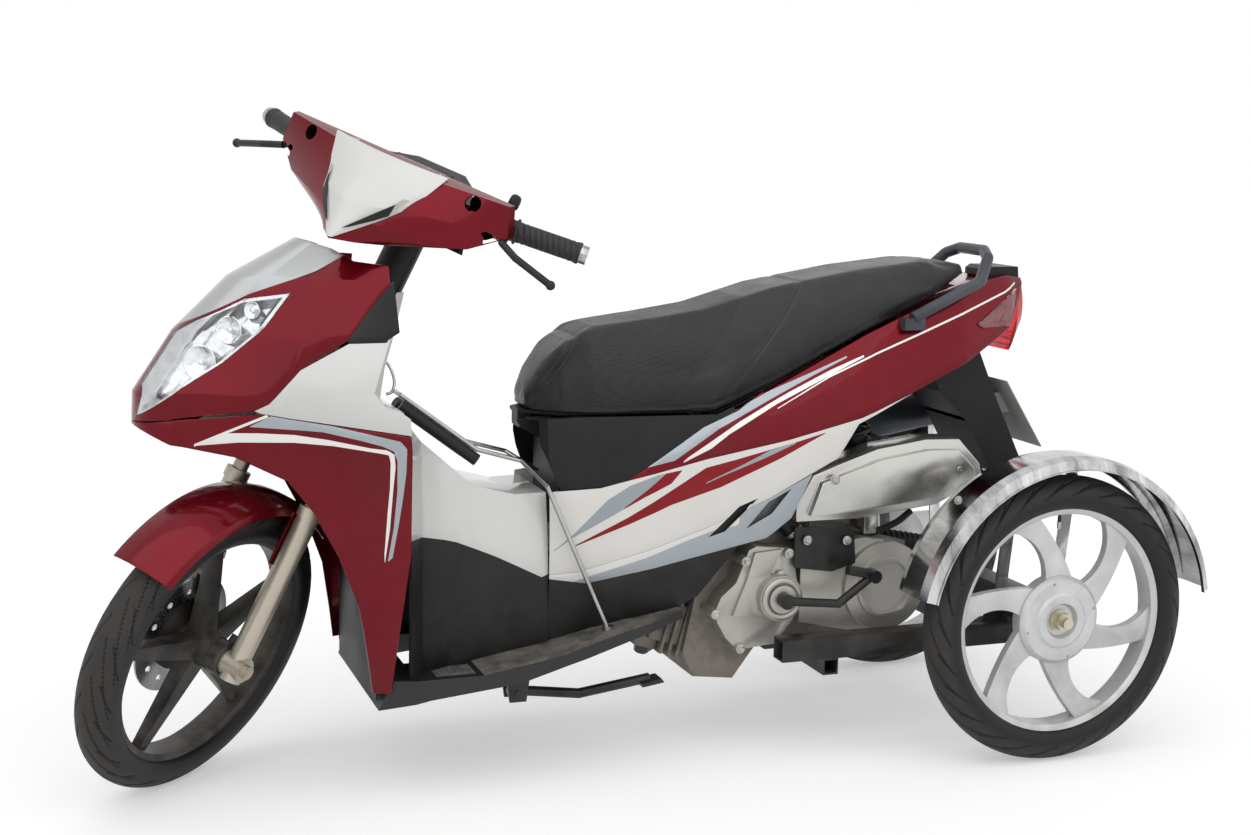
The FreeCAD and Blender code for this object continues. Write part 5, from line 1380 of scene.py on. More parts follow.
@dataclass
class Skins:
    """Outer skins of the moulded panels: the solids' own faces with eased edges."""

    easings: dict[str, Easing] = field(default_factory=lambda: {
        "front_shield": SMOOTH_PANEL, "nose_cowl": SMOOTH_PANEL, "nose_panel": SMOOTH_PANEL,
        "leg_cover": SMOOTH_PANEL, "tail_cover": SMOOTH_PANEL, "side_covers": SMOOTH_PANEL,
        "side_fins": SMOOTH_PANEL, "seat_skirt": SMOOTH_PANEL, "bar_cover": CRISP_PANEL,
        "visor": CRISP_PANEL, "front_fender": Easing(0.8, 34.0, 34.0),
        "rear_cover": CRISP_PANEL, "tunnel_sides": SMOOTH_PANEL, "floorboard": CRISP_PANEL,
        "grab_rail": Easing(2.4, 26.0, 40.0), "air_box": Easing(5.0, 30.0, 30.0),
        "crank_cover": CASTING_EDGE, "belt_cover": Easing(2.4, 24.0, 30.0),
        "engine_block": CASTING_EDGE, "engine_bracket": CRISP_PANEL,
        "rear_mudguard": CRISP_PANEL, "number_plate": THIN_SHEET,
        "rear_rim_left": RIM_EDGE, "rear_rim_right": RIM_EDGE,
        "front_rim": Easing(1.4, 24.0, 30.0), "tail_trim": CRISP_PANEL,
        "kit_frame": Easing(2.6, 24.0, 30.0), "brake_caliper": CASTING_EDGE,
        "glove_pockets": INNER_EDGE, "lower_sides": SMOOTH_PANEL,
        "headlight_lenses": INNER_EDGE, "tail_lamps": INNER_EDGE,
    })

    def _slots(self) -> dict[str, str]:
        """Material slot of each solid."""
        return {part["node"]: part["material_slot"] for part in frame["record"]["subparts"]}

    def _skin(self, node: str, easing: Easing, slot: str) -> bpy.types.Object:
        """Copy a solid's faces, join its loose triangles and round its creases.

        Args:
            node: the solid.
            easing: how its edges are eased.
            slot: its material slot; not used.

        Returns:
            The skin, seated on the solid's body.
        """
        source = frame["nodes"][node]
        mesh = source.data.copy()
        with welded(mesh, SOLID_WELD) as form:
            bmesh.ops.dissolve_limit(form, angle_limit=math.radians(FLAT_ANGLE),
                                     verts=form.verts, edges=form.edges)
        mesh.materials.clear()
        skin = linked(f"{node}_skin", mesh)
        eased = skin.modifiers.new("eased", "BEVEL")
        eased.width = easing.round_off / MM
        eased.segments = 2
        eased.limit_method = "ANGLE"
        eased.angle_limit = math.radians(easing.crease)
        apply_modifiers(skin)
        skin.data.shade_smooth()
        skin.data.set_sharp_from_angle(angle=math.radians(easing.flow))
        skin.data.materials.append(NODE_FINISHES[node].material())
        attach(skin, body_of(source)[0])
        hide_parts(node)
        return skin

    def build(self) -> None:
        """Ease every panel in the table."""
        slots = self._slots()
        skins = [self._skin(node, easing, slots[node]) for node, easing in self.easings.items()]
        LOG.info("%d panels eased, %d faces", len(skins),
                 sum(len(skin.data.polygons) for skin in skins))


# ------------------------------------------------------------------ cushion
@dataclass
class Cushion:
    """Padded cushion with its two seams and their stitches; lengths in metres."""

    cell: float = 0.0065
    shrink: float = 0.003
    cap: float = 0.006
    pressure: float = 4.0
    steps: int = 20
    seam_width: float = 0.0045
    seam_depth: float = 0.0016
    stitch_pitch: float = 0.0048
    stitch_length: float = 0.0034
    stitch_gap: float = 0.0042
    thread: float = 0.00055
    # slope of the normal below which a face is the underside, and the fan of rays, in degrees,
    # that finds a seam
    underside: float = -0.55
    fan: tuple[float, float, int] = (-12.0, 192.0, 560)
    # each seam lies in a plane square to the middle plane: a point inside the pad, and the
    # plane's way up, both as (station, height)
    rear_seam: tuple = ((517.6, 750.0), (-144.0, 167.0))
    nose_seam: tuple = ((898.6, 700.0), (-69.0, 99.0))

    def _pad(self) -> bpy.types.Object:
        """Even-celled copy of the pad's solid."""
        mesh = frame["nodes"]["seat_cushion"].data.copy()
        with welded(mesh, SOLID_WELD):
            pass
        mesh.materials.clear()
        pad = linked("seat_pad", mesh)
        remesh = pad.modifiers.new("cells", "REMESH")
        remesh.mode = "VOXEL"
        remesh.voxel_size = self.cell
        apply_modifiers(pad)
        return pad

    def _points(self, mesh: bpy.types.Mesh, kind: str = "co") -> Array:
        """The mesh's points or normals as one array."""
        flat = np.empty(len(mesh.vertices) * 3, np.float32)
        mesh.vertices.foreach_get(kind, flat)
        return flat.reshape(-1, 3).astype(float)

    def _swell(self, pad: bpy.types.Object) -> None:
        """Blow the pad up as cloth under pressure, no point moving further than the cap.

        The underside is pinned, so that it stays flat on its pan.
        """
        rest = self._points(pad.data)
        normal = self._points(pad.data, "normal")
        start = rest - normal * self.shrink
        under = normal[:, 2] < self.underside
        start[under] = rest[under]
        pad.data.vertices.foreach_set("co", start.ravel())
        pins = pad.vertex_groups.new(name="underside")
        pins.add(np.nonzero(under)[0].tolist(), 1.0, "REPLACE")
        cloth = pad.modifiers.new("swell", "CLOTH")
        cloth.settings.use_pressure = True
        cloth.settings.uniform_pressure_force = self.pressure
        cloth.settings.vertex_group_mass = "underside"
        cloth.settings.effector_weights.gravity = 0.0
        cloth.settings.quality = 5
        cloth.point_cache.frame_end = self.steps
        for step in range(1, self.steps + 1):
            bpy.context.scene.frame_set(step)
        graph = bpy.context.evaluated_depsgraph_get()
        swollen = self._points(pad.evaluated_get(graph).data)
        pad.modifiers.clear()
        bpy.context.scene.frame_set(1)
        move = swollen - start
        size = np.linalg.norm(move, axis=1, keepdims=True)
        move *= np.minimum(1.0, self.cap / np.maximum(size, 1e-9))
        pad.data.vertices.foreach_set("co", (start + move).ravel())
        LOG.info("seat_pad: swelled by %.1f mm at most",
                 MM * float(np.linalg.norm(move, axis=1).max()))

    def _seam_distance(self, points: Array, seam: tuple) -> Array:
        """Distance of points from a seam's plane, in metres."""
        (x, z), (along, up) = seam
        square = unit([up, 0.0, -along])
        return (points - at((x, 0.0, z))) @ square

    def _sink_seams(self, pad: bpy.types.Object) -> None:
        """Sink a rounded valley along each seam: depth x exp(-(distance/width)^2)."""
        points = self._points(pad.data)
        normal = self._points(pad.data, "normal")
        upper = np.clip((normal[:, 2] + 0.5) / 0.4, 0.0, 1.0)
        for seam in (self.rear_seam, self.nose_seam):
            gap = self._seam_distance(points, seam)
            sink = self.seam_depth * np.exp(-(gap / self.seam_width) ** 2) * upper
            points = points - normal * sink[:, None]
        pad.data.vertices.foreach_set("co", points.astype(np.float32).ravel())
        pad.data.update()

    def _stitches(self, pad: bpy.types.Object) -> Patch:
        """Two rows of short stitches beside each seam, laid on the pad's face.

        Each row is where rays in a plane beside the seam's meet the pad; a stitch is a
        spindle between neighbouring places of the row.
        """
        tree = BVHTree.FromObject(pad, bpy.context.evaluated_depsgraph_get())
        spindles = []
        for (x, z), (along, up) in (self.rear_seam, self.nose_seam):
            rise = unit([along, 0.0, up])
            square = np.cross(LEFT, rise)
            for side in (-self.stitch_gap, self.stitch_gap):
                centre = at((x, 0.0, z)) + square * side
                turn = np.radians(np.linspace(*self.fan))[:, None]
                rays = np.cos(turn) * LEFT + np.sin(turn) * rise
                hits = [tree.ray_cast(Vector(centre), Vector(ray)) for ray in rays]
                row = np.array([h[0] for h in hits if h[0] is not None])
                out = np.array([h[1] for h in hits if h[0] is not None])
                spindles.append(self._row(row, out))
        return gathered(spindles)

    def _row(self, row: Array, out: Array) -> Patch:
        """Spindles along a line: radius = thread x sin(share of the stitch's length).

        Args:
            row: points of the line.
            out: the face's outward directions there.

        Returns:
            The row's patch.
        """
        run = np.concatenate([[0], np.cumsum(np.linalg.norm(np.diff(row, axis=0), axis=1))])
        starts = np.arange(0, run[-1] - self.stitch_length, self.stitch_pitch)
        share = np.linspace(0, 1, 5)
        place = starts[:, None] + share[None] * self.stitch_length
        line = np.stack([np.interp(place, run, row[:, k]) for k in range(3)], -1)
        lift = unit(np.stack([np.interp(place, run, out[:, k]) for k in range(3)], -1))
        ahead = unit(line[:, -1:] - line[:, :1])
        across = np.cross(ahead, lift)
        turn = np.linspace(0, 2 * np.pi, 5, endpoint=False)
        radius = self.thread * np.sin(np.pi * np.clip(share, 0.02, 0.98))
        ring = (np.cos(turn)[:, None] * lift[:, :, None] + np.sin(turn)[:, None]
                * across[:, :, None])
        points = line[:, :, None] + ring * radius[None, :, None, None]
        return gathered([grid(stitch, close_v=True) for stitch in points])

    def build(self) -> None:
        """Swell the pad, sink its seams and stitch them."""
        pad = self._pad()
        self._swell(pad)
        finer = pad.modifiers.new("finer", "SUBSURF")
        finer.levels = finer.render_levels = 1
        apply_modifiers(pad)
        self._sink_seams(pad)
        pad.data.materials.clear()
        pad.data.materials.append(Finishes.hide.material())
        pad.data.shade_smooth()
        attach(pad, "seat")
        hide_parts("seat_cushion")
        LOG.info("seat_pad: %d faces", len(pad.data.polygons))
        add_piece("seat_stitching", self._stitches(pad), "seat",
                  Finishes.thread, Shade.SMOOTH)


# ------------------------------------------------------------------ wheels
# a tyre's section from bead to bead, in degrees from its crown: (from, to, steps); the ribs
# on its walls: (angle, width, height); and where its beads end: (radius, side)
SECTION = ((-118, -80, 9), (-76, 76, 45), (80, 118, 9))
RIBS = ((92, 1.8, 0.55), (104, 2.2, 0.7), (82, 1.5, 0.5))
BEAD = (206.0, 23.0)


@dataclass(frozen=True)
class TreadCut:
    """One family of slanting cuts round a tyre: angles in degrees, width in millimetres."""

    count: int
    lean: float
    inner: float
    outer: float
    offset: float
    width: float
    curve: float = 0.0


@dataclass
class Wheel:
    """A tyre with its tread, and its valve; lengths in millimetres."""

    name: str
    node: str
    body: str
    centre: Place
    axis: Place
    cuts: tuple[TreadCut, ...]
    steps: int = 1260
    radius: float = 266.0
    half: float = 37.0
    depth: float = 4.6

    def _frame(self) -> tuple[Array, Array, Array]:
        """The wheel's axis and two spokes square to it."""
        axis = unit(self.axis)
        first, second = cross_axes(axis)
        return axis, first, second

    def _cut_depth(self, turn: Array, section: Array) -> Array:
        """Depth of the tread at each place.

        A cut's middle line is turn = place of the cut + lean x s + curve x s^2, where s is the
        angle from the crown; depth falls off smoothly over the cut's width.
        """
        cut = np.zeros(np.broadcast(turn, section).shape)
        for family in self.cuts:
            for side in (-1, 1):
                s = np.degrees(section) * side
                line = family.lean * s + family.curve * s ** 2
                phase = (np.degrees(turn) - line) * family.count / 360.0 + family.offset + (
                    0.5 if side > 0 else 0.0)
                away = np.abs((phase + 0.5) % 1.0 - 0.5) * (2 * np.pi * self.radius
                                                            / family.count)
                groove = np.clip(1.25 - away / (family.width / 2), 0.0, 1.0)
                ends = np.clip((s - family.inner) / 4.0, 0, 1) * np.clip(
                    (family.outer - s) / 4.0, 0, 1)
                cut = np.maximum(cut, groove * ends)
        return cut

    def tyre(self) -> None:
        """Tyre: a round crown carried about the axle, cut by the tread.

        radius = crown centre + (half - depth) x cos s, across = (half - depth) x sin s.
        """
        section = np.radians(np.concatenate([np.linspace(*run) for run in SECTION]))
        turn = np.linspace(0, 2 * np.pi, self.steps, endpoint=False)
        cut = self._cut_depth(turn[:, None], section[None])
        wall = np.abs(np.degrees(section))
        ribs = sum(high * np.exp(-((wall - place) / wide) ** 2) for place, wide, high in RIBS)
        reach = self.half - 0.2 + np.clip(ribs, 0, 0.7)[None] * 0.8 - self.depth * cut
        crown = self.radius - self.half - 0.1
        bead = np.ones((self.steps, 1))
        away = np.hstack([bead * BEAD[0], crown + reach * np.cos(section), bead * BEAD[0]])
        across = np.hstack([bead * -BEAD[1], reach * np.sin(section), bead * BEAD[1]])
        axis, first, second = self._frame()
        spoke = np.cos(turn)[:, None] * first + np.sin(turn)[:, None] * second
        points = at(self.centre) + (away[..., None] * spoke[:, None] + across[..., None]
                                    * axis) / MM
        piece = add_piece(f"{self.name}_tread", grid(points, close_u=True, close_v=True),
                          self.body, Finishes.tyre, Shade.SMOOTH,
                          replaces=[self.node])
        worn = np.clip((90.0 - wall) / 22.0, 0.0, 1.0)[None] * (1 - cut)
        worn = np.pad(worn, ((0, 0), (1, 1)))
        store = piece.data.attributes.new("worn", "FLOAT", "POINT")
        if len(piece.data.vertices) == worn.size:
            store.data.foreach_set("value", worn.ravel().astype(np.float32))

    def valve(self, slot: str, reach: float = 200.0) -> None:
        """Tyre valve: rubber stem and metal cap through the rim, pointing to the axle."""
        second = self._frame()[2]
        foot = np.asarray(self.centre) + second * reach
        stem = turning([(5.0, 0), (5.0, 3), (3.2, 6), (3.2, 22)], foot, -second, 16)
        cap = turning([(4.0, 21), (4.0, 24), (3.6, 33), (2.4, 34)], foot, -second, 16)
        add_piece(f"{self.name}_valve", stem, self.body, Finishes.black)
        add_piece(f"{self.name}_valve_cap", cap, self.body, Finishes.steel)


FRONT_CUTS = (TreadCut(24, 0.42, 6.0, 74.0, 0.0, 7.0, 0.0012),
              TreadCut(24, 0.30, 34.0, 80.0, 0.34, 5.4))
REAR_CUTS = (TreadCut(26, 0.34, 5.0, 84.0, 0.0, 7.6),
             TreadCut(26, 0.24, 38.0, 76.0, 0.5, 6.0))


@dataclass
class Wheels:
    """The three wheels."""

    hub: Place = (1497.185, 20.823, 254.094)
    front_axis: Place = (-0.63831234, 0.70090926, -0.31825079)
    track: float = 630.0
    axle_height: float = 266.0

    def build(self) -> None:
        """Each wheel's tyre, then its valve."""
        wheels = [(Wheel("front", "front_tyre", "front_wheel", self.hub, self.front_axis,
                         FRONT_CUTS), "black_paint")]
        wheels += [(Wheel(f"rear_{side}", f"rear_tyre_{side}", f"rear_wheel_{side}",
                          (0.0, across * self.track / 2, self.axle_height), LEFT, REAR_CUTS),
                    "wheel_silver") for across, side in SIDES]
        for wheel, rim_slot in wheels:
            wheel.tyre()
            wheel.valve(rim_slot)


# ------------------------------------------------------------------ handlebars
def plate_between(upper: Sequence, lower: Sequence, thick: float) -> Patch:
    """Thin closed plate between two edges: both faces are ruled from edge to edge.

    Args:
        upper: stations of one edge.
        lower: stations of the other edge, as many.
        thick: thickness in millimetres, laid towards the viewer's side of the ruling.

    Returns:
        A closed patch.
    """
    near = np.stack([np.asarray(upper, float), np.asarray(lower, float)], 1)
    across = near[:, 1] - near[:, 0]
    along = np.gradient(near.mean(1), axis=0)
    normal = unit(np.cross(along, across))[:, None]
    ring = np.concatenate([near, near[:, ::-1] + normal * thick], 1)
    middle = ring.mean(1, keepdims=True)
    ends = np.broadcast_to(middle[[0, -1]], (2, ring.shape[1], 3))
    return grid(at(np.concatenate([ends[:1], ring, ends[1:]])), close_v=True)


@dataclass
class Bars:
    """Grip sleeves, lever perch, dials and the dark backs of the bar cover's openings."""

    grip_end: Place = (41.0, 330.0, 1152.0)
    bar_bend: Place = (91.0, 205.0, 1136.0)
    perch_back: float = 134.5
    dial_top: float = 1071.0
    # station, side and radius of each dial; the scale's start, end and step in degrees; and
    # where the pointers rest, in radians
    dials: tuple[Place, ...] = ((1155.0, 0.0, 23.0), (1156.0, 38.0, 14.0),
                                (1156.0, -38.0, 14.0))
    ticks: tuple[int, int, int] = (-130, 131, 20)
    pointer: float = -2.1

    def _bar(self, side: int) -> tuple[Array, Array]:
        """End of one bar and the way that it points."""
        end, bend = (on_fork(a, side * y, u) for a, y, u in (self.grip_end, self.bar_bend))
        return end, unit(end - bend)

    def grips(self) -> None:
        """Sleeves turned from a profile with a flange, finger beads and a rolled end."""
        along = np.linspace(-104.0, -8.0, 60)
        bead = 17.0 + 0.5 * np.cos(along * np.pi / 4.0) * (np.abs(along + 56) > 34)
        profile = [(0, -112.3), (20.5, -112.3), (21.5, -111.3), (21.5, -109.5), (20.0, -108.3),
                   (17.2, -107.0), *zip(bead, along), (18.0, -5.0), (18.2, -2.0), (16.5, -0.2),
                   (0, 0)]
        for side, name in SIDES:
            end, out = self._bar(side)
            first, second = cross_axes(out)
            finish = GripRubber(f"grip rubber {name}", axis=tuple(out), side=tuple(first),
                                other=tuple(second), middle=tuple(at(end)))
            add_piece(f"grip_sleeve_{name}", lathe(profile, end, out, 40), "steering",
                      finish, Shade.SMOOTH,
                      replaces=["grips"] if side > 0 else [])
            ring = turning([(14.5, -0.6), (15.5, 0.4), (15.5, 2.0), (14, 3)], end, out, 32)
            add_piece(f"grip_ring_{name}", ring, "steering", Finishes.zinc)

    def perch(self) -> None:
        """Bright clamp beside the left grip with a post, screws and a dark thumb switch."""
        end, out = self._bar(1)
        foot = end - out * self.perch_back
        up, fore = (turned(STEER_BASE + way) - STEER_BASE for way in (UP_AXIS, FORE_AXIS))
        clamp = [turning([(16, -7), (17.5, -5.5), (17.5, 5.5), (16, 7)], foot, out, 32),
                 turning([(8.5, 8), (9, 9), (9, 27), (8, 28.5), (6.2, 29), (6.2, 35)], foot,
                         up, 24),
                 turning([(6, 10), (6, 24), (4.6, 25)], foot, fore, 20),
                 pan_head(foot + fore * 25, fore, 4.4),
                 hex_head(foot + up * -17.5, -up, 10.0)]
        add_piece("lever_perch", gathered(clamp), "steering", Finishes.chrome)
        thumb = lathe([(0, 33), (7.5, 33), (9.5, 36), (9.8, 48), (8.5, 54), (5, 57), (0, 57.5)],
                      foot, up, 24)
        add_piece("thumb_switch", thumb, "steering", Finishes.trim_black)

    def backs(self) -> None:
        """Black cups behind the mirror holes and black panels behind the levers."""
        cups = [turning([(16.5, 0), (16.5, 24), (15.5, 24), (15.5, 1.5)],
                        (1184.0, s * 170.0, 1074.0), (1, 0, 0.2), 32) for s in (-1, 1)]
        edges = (((150, 1088), (186, 1088), (221, 1086)), ((150, 1007), (186, 1019), (221, 1043)))
        panels = [plate_between(*([(1187.0, s * y, z) for y, z in edge] for edge in edges), 2.0)
                  for s in (-1, 1)]
        patch = gathered(cups + panels).steered()
        add_piece("bar_cover_backs", patch, "steering", Finishes.black)

    def visor_edges(self) -> None:
        """Black plate as painted shadow in the gap under each half of the visor, and a darker
        pearl plate as painted shade on its folded lower lip.
        """
        # black plate in the gap between the visor and the bar cover: painted shadow
        gap_shade = plate_between([(1279.0, 167.4, 967.8), (1237.0, 179.6, 987.4),
                                (1195.6, 187.0, 1006.0)],
                               [(1267.4, 171.4, 969.4), (1231.0, 182.0, 979.2),
                                (1206.5, 184.8, 986.8)], -1.2)
        # darker plate laid on the visor's folded lower lip: painted shade
        lip = plate_between([(1195.0, 187.8, 1006.4), (1153.0, 172.5, 1030.6),
                             (1113.6, 154.0, 1053.4)],
                            [(1206.7, 185.6, 987.2), (1153.0, 184.5, 1016.6),
                             (1105.8, 177.0, 1044.4)], -1.6)
        for patch, name, slot, finish in (
                (gap_shade, "visor_reveal", "black_plastic", Finishes.black),
                (lip, "visor_lip", "white_paint", Finishes.shaded_lip_white)):
            other = patch.steered(-STEER_TURN).mirrored().steered()
            add_piece(f"{name}s", gathered([patch, other]), "steering", finish)

    def instruments(self) -> None:
        """Three round dials with ticks, pointers and a clear pane over them."""
        rims, faces, marks = [], [], []
        for x, y, r in self.dials:
            foot = (x, y, self.dial_top)
            rims.append(turning([(r, -0.5), (r + 1.2, 0), (r + 1.2, 1.6), (r, 2.2),
                                 (r - 1, 1.2)], foot, UP, 48))
            faces.append(turning([(r - 1.1, 1.1), (r - 1.1, 1.5)], foot, UP, 48))
            for turn in np.radians(np.arange(*self.ticks)):
                way = np.array((math.cos(turn), math.sin(turn), 0.0))
                inner = np.array(foot) + way * r * 0.74 + (0, 0, 1.7)
                marks.append(pipe(np.stack([inner, inner + way * r * 0.16]), 0.45, 4))
            way = np.array((math.cos(self.pointer), math.sin(self.pointer), 0.0))
            inner = np.array(foot) + (0, 0, 2.1)
            outer = np.array(foot) + way * r * 0.7 + (0, 0, 2.1)
            marks.append(pipe(np.stack([inner, outer]), np.array((1.0, 0.4)), 4))
        glass = slab([(1131.0, 1073.8), (1179.0, 1073.8), (1179.0, 1074.8), (1131.0, 1074.8)],
                     -52.0, 52.0, 0.3)
        for patches, name, slot, finish in (
                (rims, "dial_rims", "black_plastic", Finishes.trim_black),
                (faces, "dial_faces", "black_plastic", Finishes.paper),
                (marks, "dial_marks", "white_paint", Finishes.marks),
                ([glass], "dial_pane", "clear_lens", Finishes.clear)):
            add_piece(name, gathered(patches).steered(), "steering", finish)

    def build(self) -> None:
        """All that the rider sees and holds."""
        self.grips()
        self.perch()
        self.backs()
        self.visor_edges()
        self.instruments()


# ------------------------------------------------------------------ headlights
@dataclass
class Headlights:
    """Dished reflectors and bulbs behind the clear lenses."""

    look: Place = (0.55, 0.80, 0.12)
    hollow: float = 0.42
    wall: float = 1.6
    # station and radius of each dish
    dishes: tuple[tuple[float, float, float, float], ...] = (
        (1494.0, 63.5, 742.0, 29.0), (1447.0, 66.0, 795.0, 23.0), (1409.0, 70.5, 827.0, 14.0))

    def build(self) -> None:
        """Dish: depth falls off as the square of the radius; a bulb stands in each."""
        way = unit(self.look)
        share = np.linspace(0.12, 1.0, 12)
        rims, bulbs = [], []
        for x, y, z, r in self.dishes:
            deep = -r * self.hollow * (1 - share ** 2)
            profile = [(0, deep[0] - self.wall), *zip(share * r, deep - self.wall),
                       *zip((share * r)[::-1], deep[::-1]), (0, deep[0])]
            rims.append(lathe(profile, (x, y, z), way, 40))
            bulbs.append(lathe([(0, deep[0] - 0.5), (3.6, deep[0] - 0.5), (4.2, -r * 0.3),
                                (4.6, -r * 0.16), (3.4, -r * 0.05), (0, -0.5)],
                               (x, y, z), way, 20))
        for patches, name, finish in ((rims, "headlight_dishes", Finishes.dish),
                                      (bulbs, "headlight_bulbs", Finishes.bulb)):
            patch = gathered(patches)
            add_piece(name, gathered([patch, patch.mirrored()]), "chassis",
                      finish, Shade.SMOOTH)


# ------------------------------------------------------------------ engine and kit
@dataclass
class Engine:
    """Fasteners, intake, starter ring, spring and small parts round the engine unit."""

    # for each cover: its face, its bolts' width, how far each is turned from the one before,
    # and their places
    ears: tuple[tuple, ...] = (
        (148.0, 10.5, 13.0, ((600, 272), (543, 366), (458, 376), (471, 213), (549, 204),
                             (473, 336))),
        (154.0, 12.0, 17.0, ((425, 400), (345, 395))))
    boss: Place = (478.0, 164.0, 297.0)
    boss_ring: tuple[float, float] = (33.5, 6.8)
    spring_low: Place = (262.0, 48.0, 424.0)
    spring_high: Place = (300.0, 48.0, 698.0)
    turns: float = 7.5
    coil_radius: float = 26.0
    coil_ends: float = 46.0

    def bolts(self) -> None:
        """Hexagon heads on the covers' ears and round the belt cover."""
        heads = [hex_head((x, face, z), LEFT, across, start=lean * n)
                 for face, across, lean, ears in self.ears for n, (x, z) in enumerate(ears)]
        heads += [hex_head((378.0, 161.6, 512.0), LEFT, 13.0),
                  pan_head((120.0, 161.8, 520.0), LEFT, 5.0),
                  hex_head((205.0, 302.5, 493.0), LEFT, 11.0, 4.5)]
        add_piece("engine_bolts", gathered(heads), "chassis", Finishes.steel)

    def ring(self) -> None:
        """Pale rounded ring on the starter boss: a circle carried round a circle."""
        turn = np.linspace(0, 2 * np.pi, 64, endpoint=False)[:, None]
        radius, round_off = self.boss_ring
        path = np.array(self.boss) + radius * (np.cos(turn) * (1, 0, 0) + np.sin(turn) * UP)
        add_piece("starter_ring", pipe(path, round_off, 16, closed=True), "chassis",
                  Finishes.cast, Shade.SMOOTH)

    def intake(self) -> None:
        """Black corner tube with a clamp band and a white nozzle under the side cover."""
        path = flowing([(506, 112, 470), (470, 112, 446), (430, 112, 403)], 18)
        way = unit(np.array((378.0, 112, 388)) - (430, 112, 403))
        add_piece("intake_tube", pipe(path, np.linspace(22, 18, 18), 24), "chassis",
                  Finishes.trim_black, Shade.SMOOTH)
        band = turning([(19.6, -3), (20.4, -2), (20.4, 5), (19.6, 6)], (438, 112, 411.5),
                       unit((-0.66, 0, -0.70)), 36)
        add_piece("intake_band", band, "chassis", Finishes.zinc)
        nozzle = turning([(14, -8), (14, 4), (11.5, 12), (10, 44), (8.5, 50)],
                         (428, 112, 402.5), way, 28)
        add_piece("intake_nozzle", nozzle, "chassis", Finishes.cream)

    def spring(self) -> None:
        """Damper and its coil: point = axis + r*(cos, sin) while it climbs steadily."""
        low, high = np.array(self.spring_low), np.array(self.spring_high)
        way = unit(high - low)
        reach = float(np.linalg.norm(high - low))
        first, second = cross_axes(way)
        share = np.linspace(0, 1, 260)[:, None]
        turn = 2 * np.pi * self.turns * share
        climb = self.coil_ends + share * (reach - 2 * self.coil_ends)
        coil = low + way * climb + self.coil_radius * (np.cos(turn) * first
                                                       + np.sin(turn) * second)
        body = [turning([(13, 12), (17, 20), (17, 34), (30, 37), (30, 42), (20, 46),
                         (20, reach * 0.55), (10, reach * 0.57), (8, reach - 52),
                         (22, reach - 46), (30, reach - 42), (30, reach - 37),
                         (16, reach - 32), (12, reach - 12)], low, way, 36)]
        body += [lathe([(12.2, -16), (18, -16), (18, 16), (12.2, 16), (12.2, -16)], end,
                       LEFT, 32) for end in (low, high)]
        add_piece("damper_body", gathered(body), "chassis", Finishes.enamel,
                  replaces=["shock_absorber"])
        add_piece("damper_coil", pipe(coil, 5.0, 10), "chassis",
                  Finishes.black_cast, Shade.SMOOTH)

    def duct(self) -> None:
        """Ribbed cooling duct and a breather hose between the air box and the belt cover.

        radius = middle radius + rib height x cos(2 pi x place / pitch).
        """
        steps, radius, rib, ribs = 160, 20.0, 1.6, 26
        path = flowing([(330, 66, 372), (280, 66, 378), (200, 66, 366), (130, 66, 352),
                        (84, 60, 344)], steps)
        ribbed = radius + rib * np.cos(np.linspace(0, 2 * np.pi * ribs, steps))
        hose = flowing([(322, 96, 404), (290, 100, 388), (262, 100, 394), (214, 98, 410),
                        (180, 90, 428)], 60)
        for name, patch, finish in (
                ("cooling_duct", pipe(path, ribbed, 20), Finishes.black),
                ("breather_hose", pipe(hose, 6.5, 14), Finishes.trim_black)):
            add_piece(name, patch, "chassis", finish, Shade.SMOOTH)

    def vents(self) -> None:
        """Dark board and grey gauze behind the side fins' two slots."""
        corners = {"vent_board": [(628, 414), (560, 482), (520, 494), (586, 424)],
                   "vent_gauze": [(560, 426), (514, 486), (456, 508), (494, 450)]}
        for s, mark in SIDES:
            for name, near, far, finish in (("vent_board", 150.0, 152.5, Finishes.black),
                                            ("vent_gauze", 152.0, 153.5, Finishes.mesh_grey)):
                add_piece(f"{name}_{mark}", slab(corners[name], near * s, far * s), "chassis",
                          finish)

    def build(self) -> None:
        """Everything round the engine unit."""
        self.bolts()
        self.ring()
        self.intake()
        self.spring()
        self.duct()
        self.vents()


# ------------------------------------------------------------------ small fittings
@dataclass
class Fittings:
    """Small fittings: mat studs, plate bolts and the bag hook."""

    # stations where a mat begins and ends, then its inner and outer edge
    mat: tuple[float, float, float, float] = (1062.0, 1120.0, 134.0, 176.0)
    mat_slant: float = 0.35
    mat_top: float = 213.5
    plate_out: Place = (-0.84, 0.0, 0.545)
    plate_bolt: Place = (-40.0, 50.0, 642.0)
    plate_half: float = 1.6

    def mat_studs(self) -> None:
        """Rows of low round studs on both floor mats."""
        x0, x1, y0, y1 = self.mat
        studs = [lathe([(0, -0.3), (3.4, -0.3), (3.0, 0.9), (2.0, 1.3), (0, 1.4)],
                       (x, s * y, self.mat_top), UP, 10)
                 for s in (-1, 1) for x in np.linspace(x0, x1, 6)
                 for y in np.linspace(y0 + self.mat_slant * (x - x0), y1, 4)]
        add_piece("mat_studs", gathered(studs), "chassis", Finishes.floor)

    def plate_bolts(self) -> None:
        """Two bolts that hold the bare plate."""
        out = unit(self.plate_out)
        heads = [hex_head(np.array(self.plate_bolt) * (1, s, 1) + out * self.plate_half, out,
                          11.0, 4.0) for s in (-1, 1)]
        add_piece("plate_bolts", gathered(heads), "chassis", Finishes.steel)

    def bag_hook(self) -> None:
        """Plated hook on the leg cover's back."""
        path = flowing([(1196, 0, 716), (1180, 0, 730), (1166, 0, 722), (1156, 0, 696),
                        (1159, 0, 676), (1170, 0, 670)], 40)
        add_piece("bag_hook", pipe(path, 2.8, 12), "chassis", Finishes.chrome,
                  Shade.SMOOTH)

    def build(self) -> None:
        """All the small fittings."""
        self.mat_studs()
        self.plate_bolts()
        self.bag_hook()


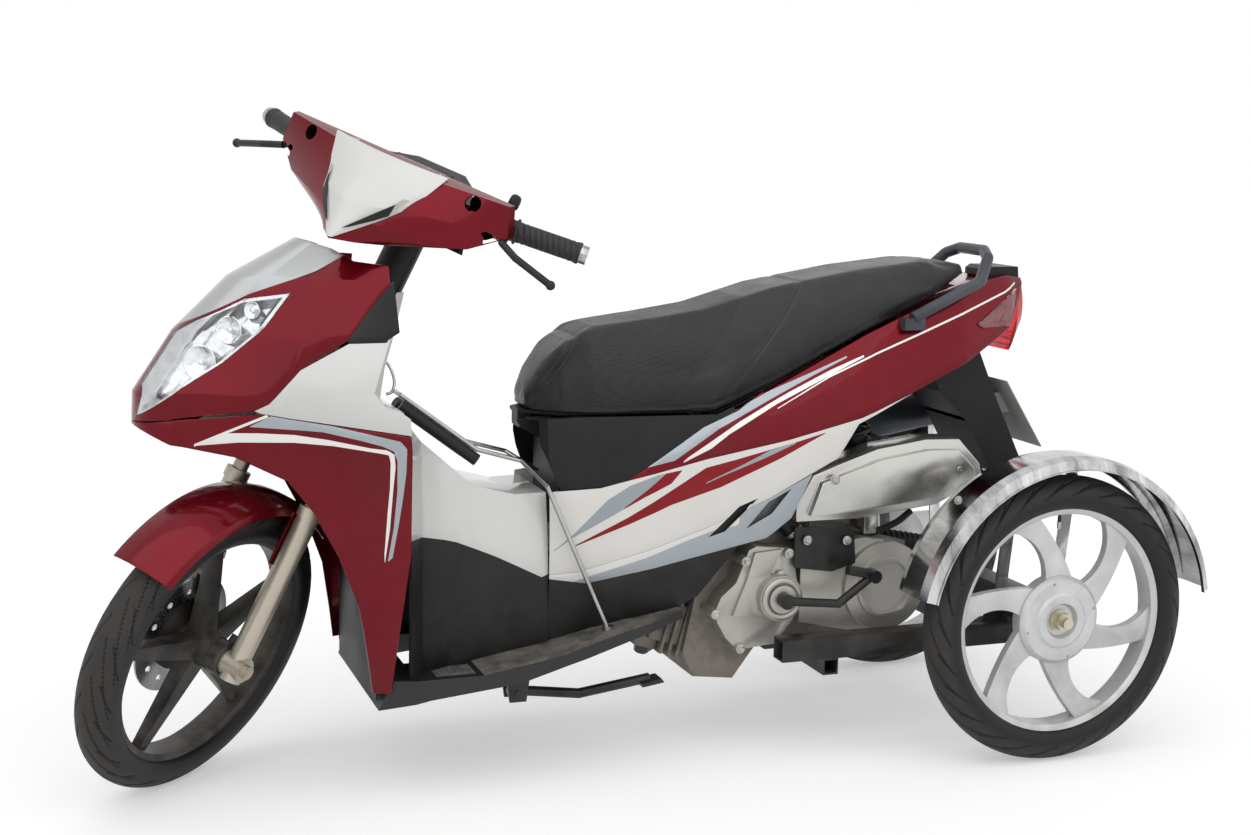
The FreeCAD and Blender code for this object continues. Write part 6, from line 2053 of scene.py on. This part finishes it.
def main() -> None:
    """Dress the solids and add the finer pieces, sub-assembly by sub-assembly."""
    logging.basicConfig(level=logging.INFO, format="%(name)s: %(message)s")
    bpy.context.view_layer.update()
    Studio().build()
    dress_solids()
    Skins().build()
    Cushion().build()
    Wheels().build()
    Bars().build()
    Headlights().build()
    Engine().build()
    Fittings().build()


if __name__ == "__main__":
    main()
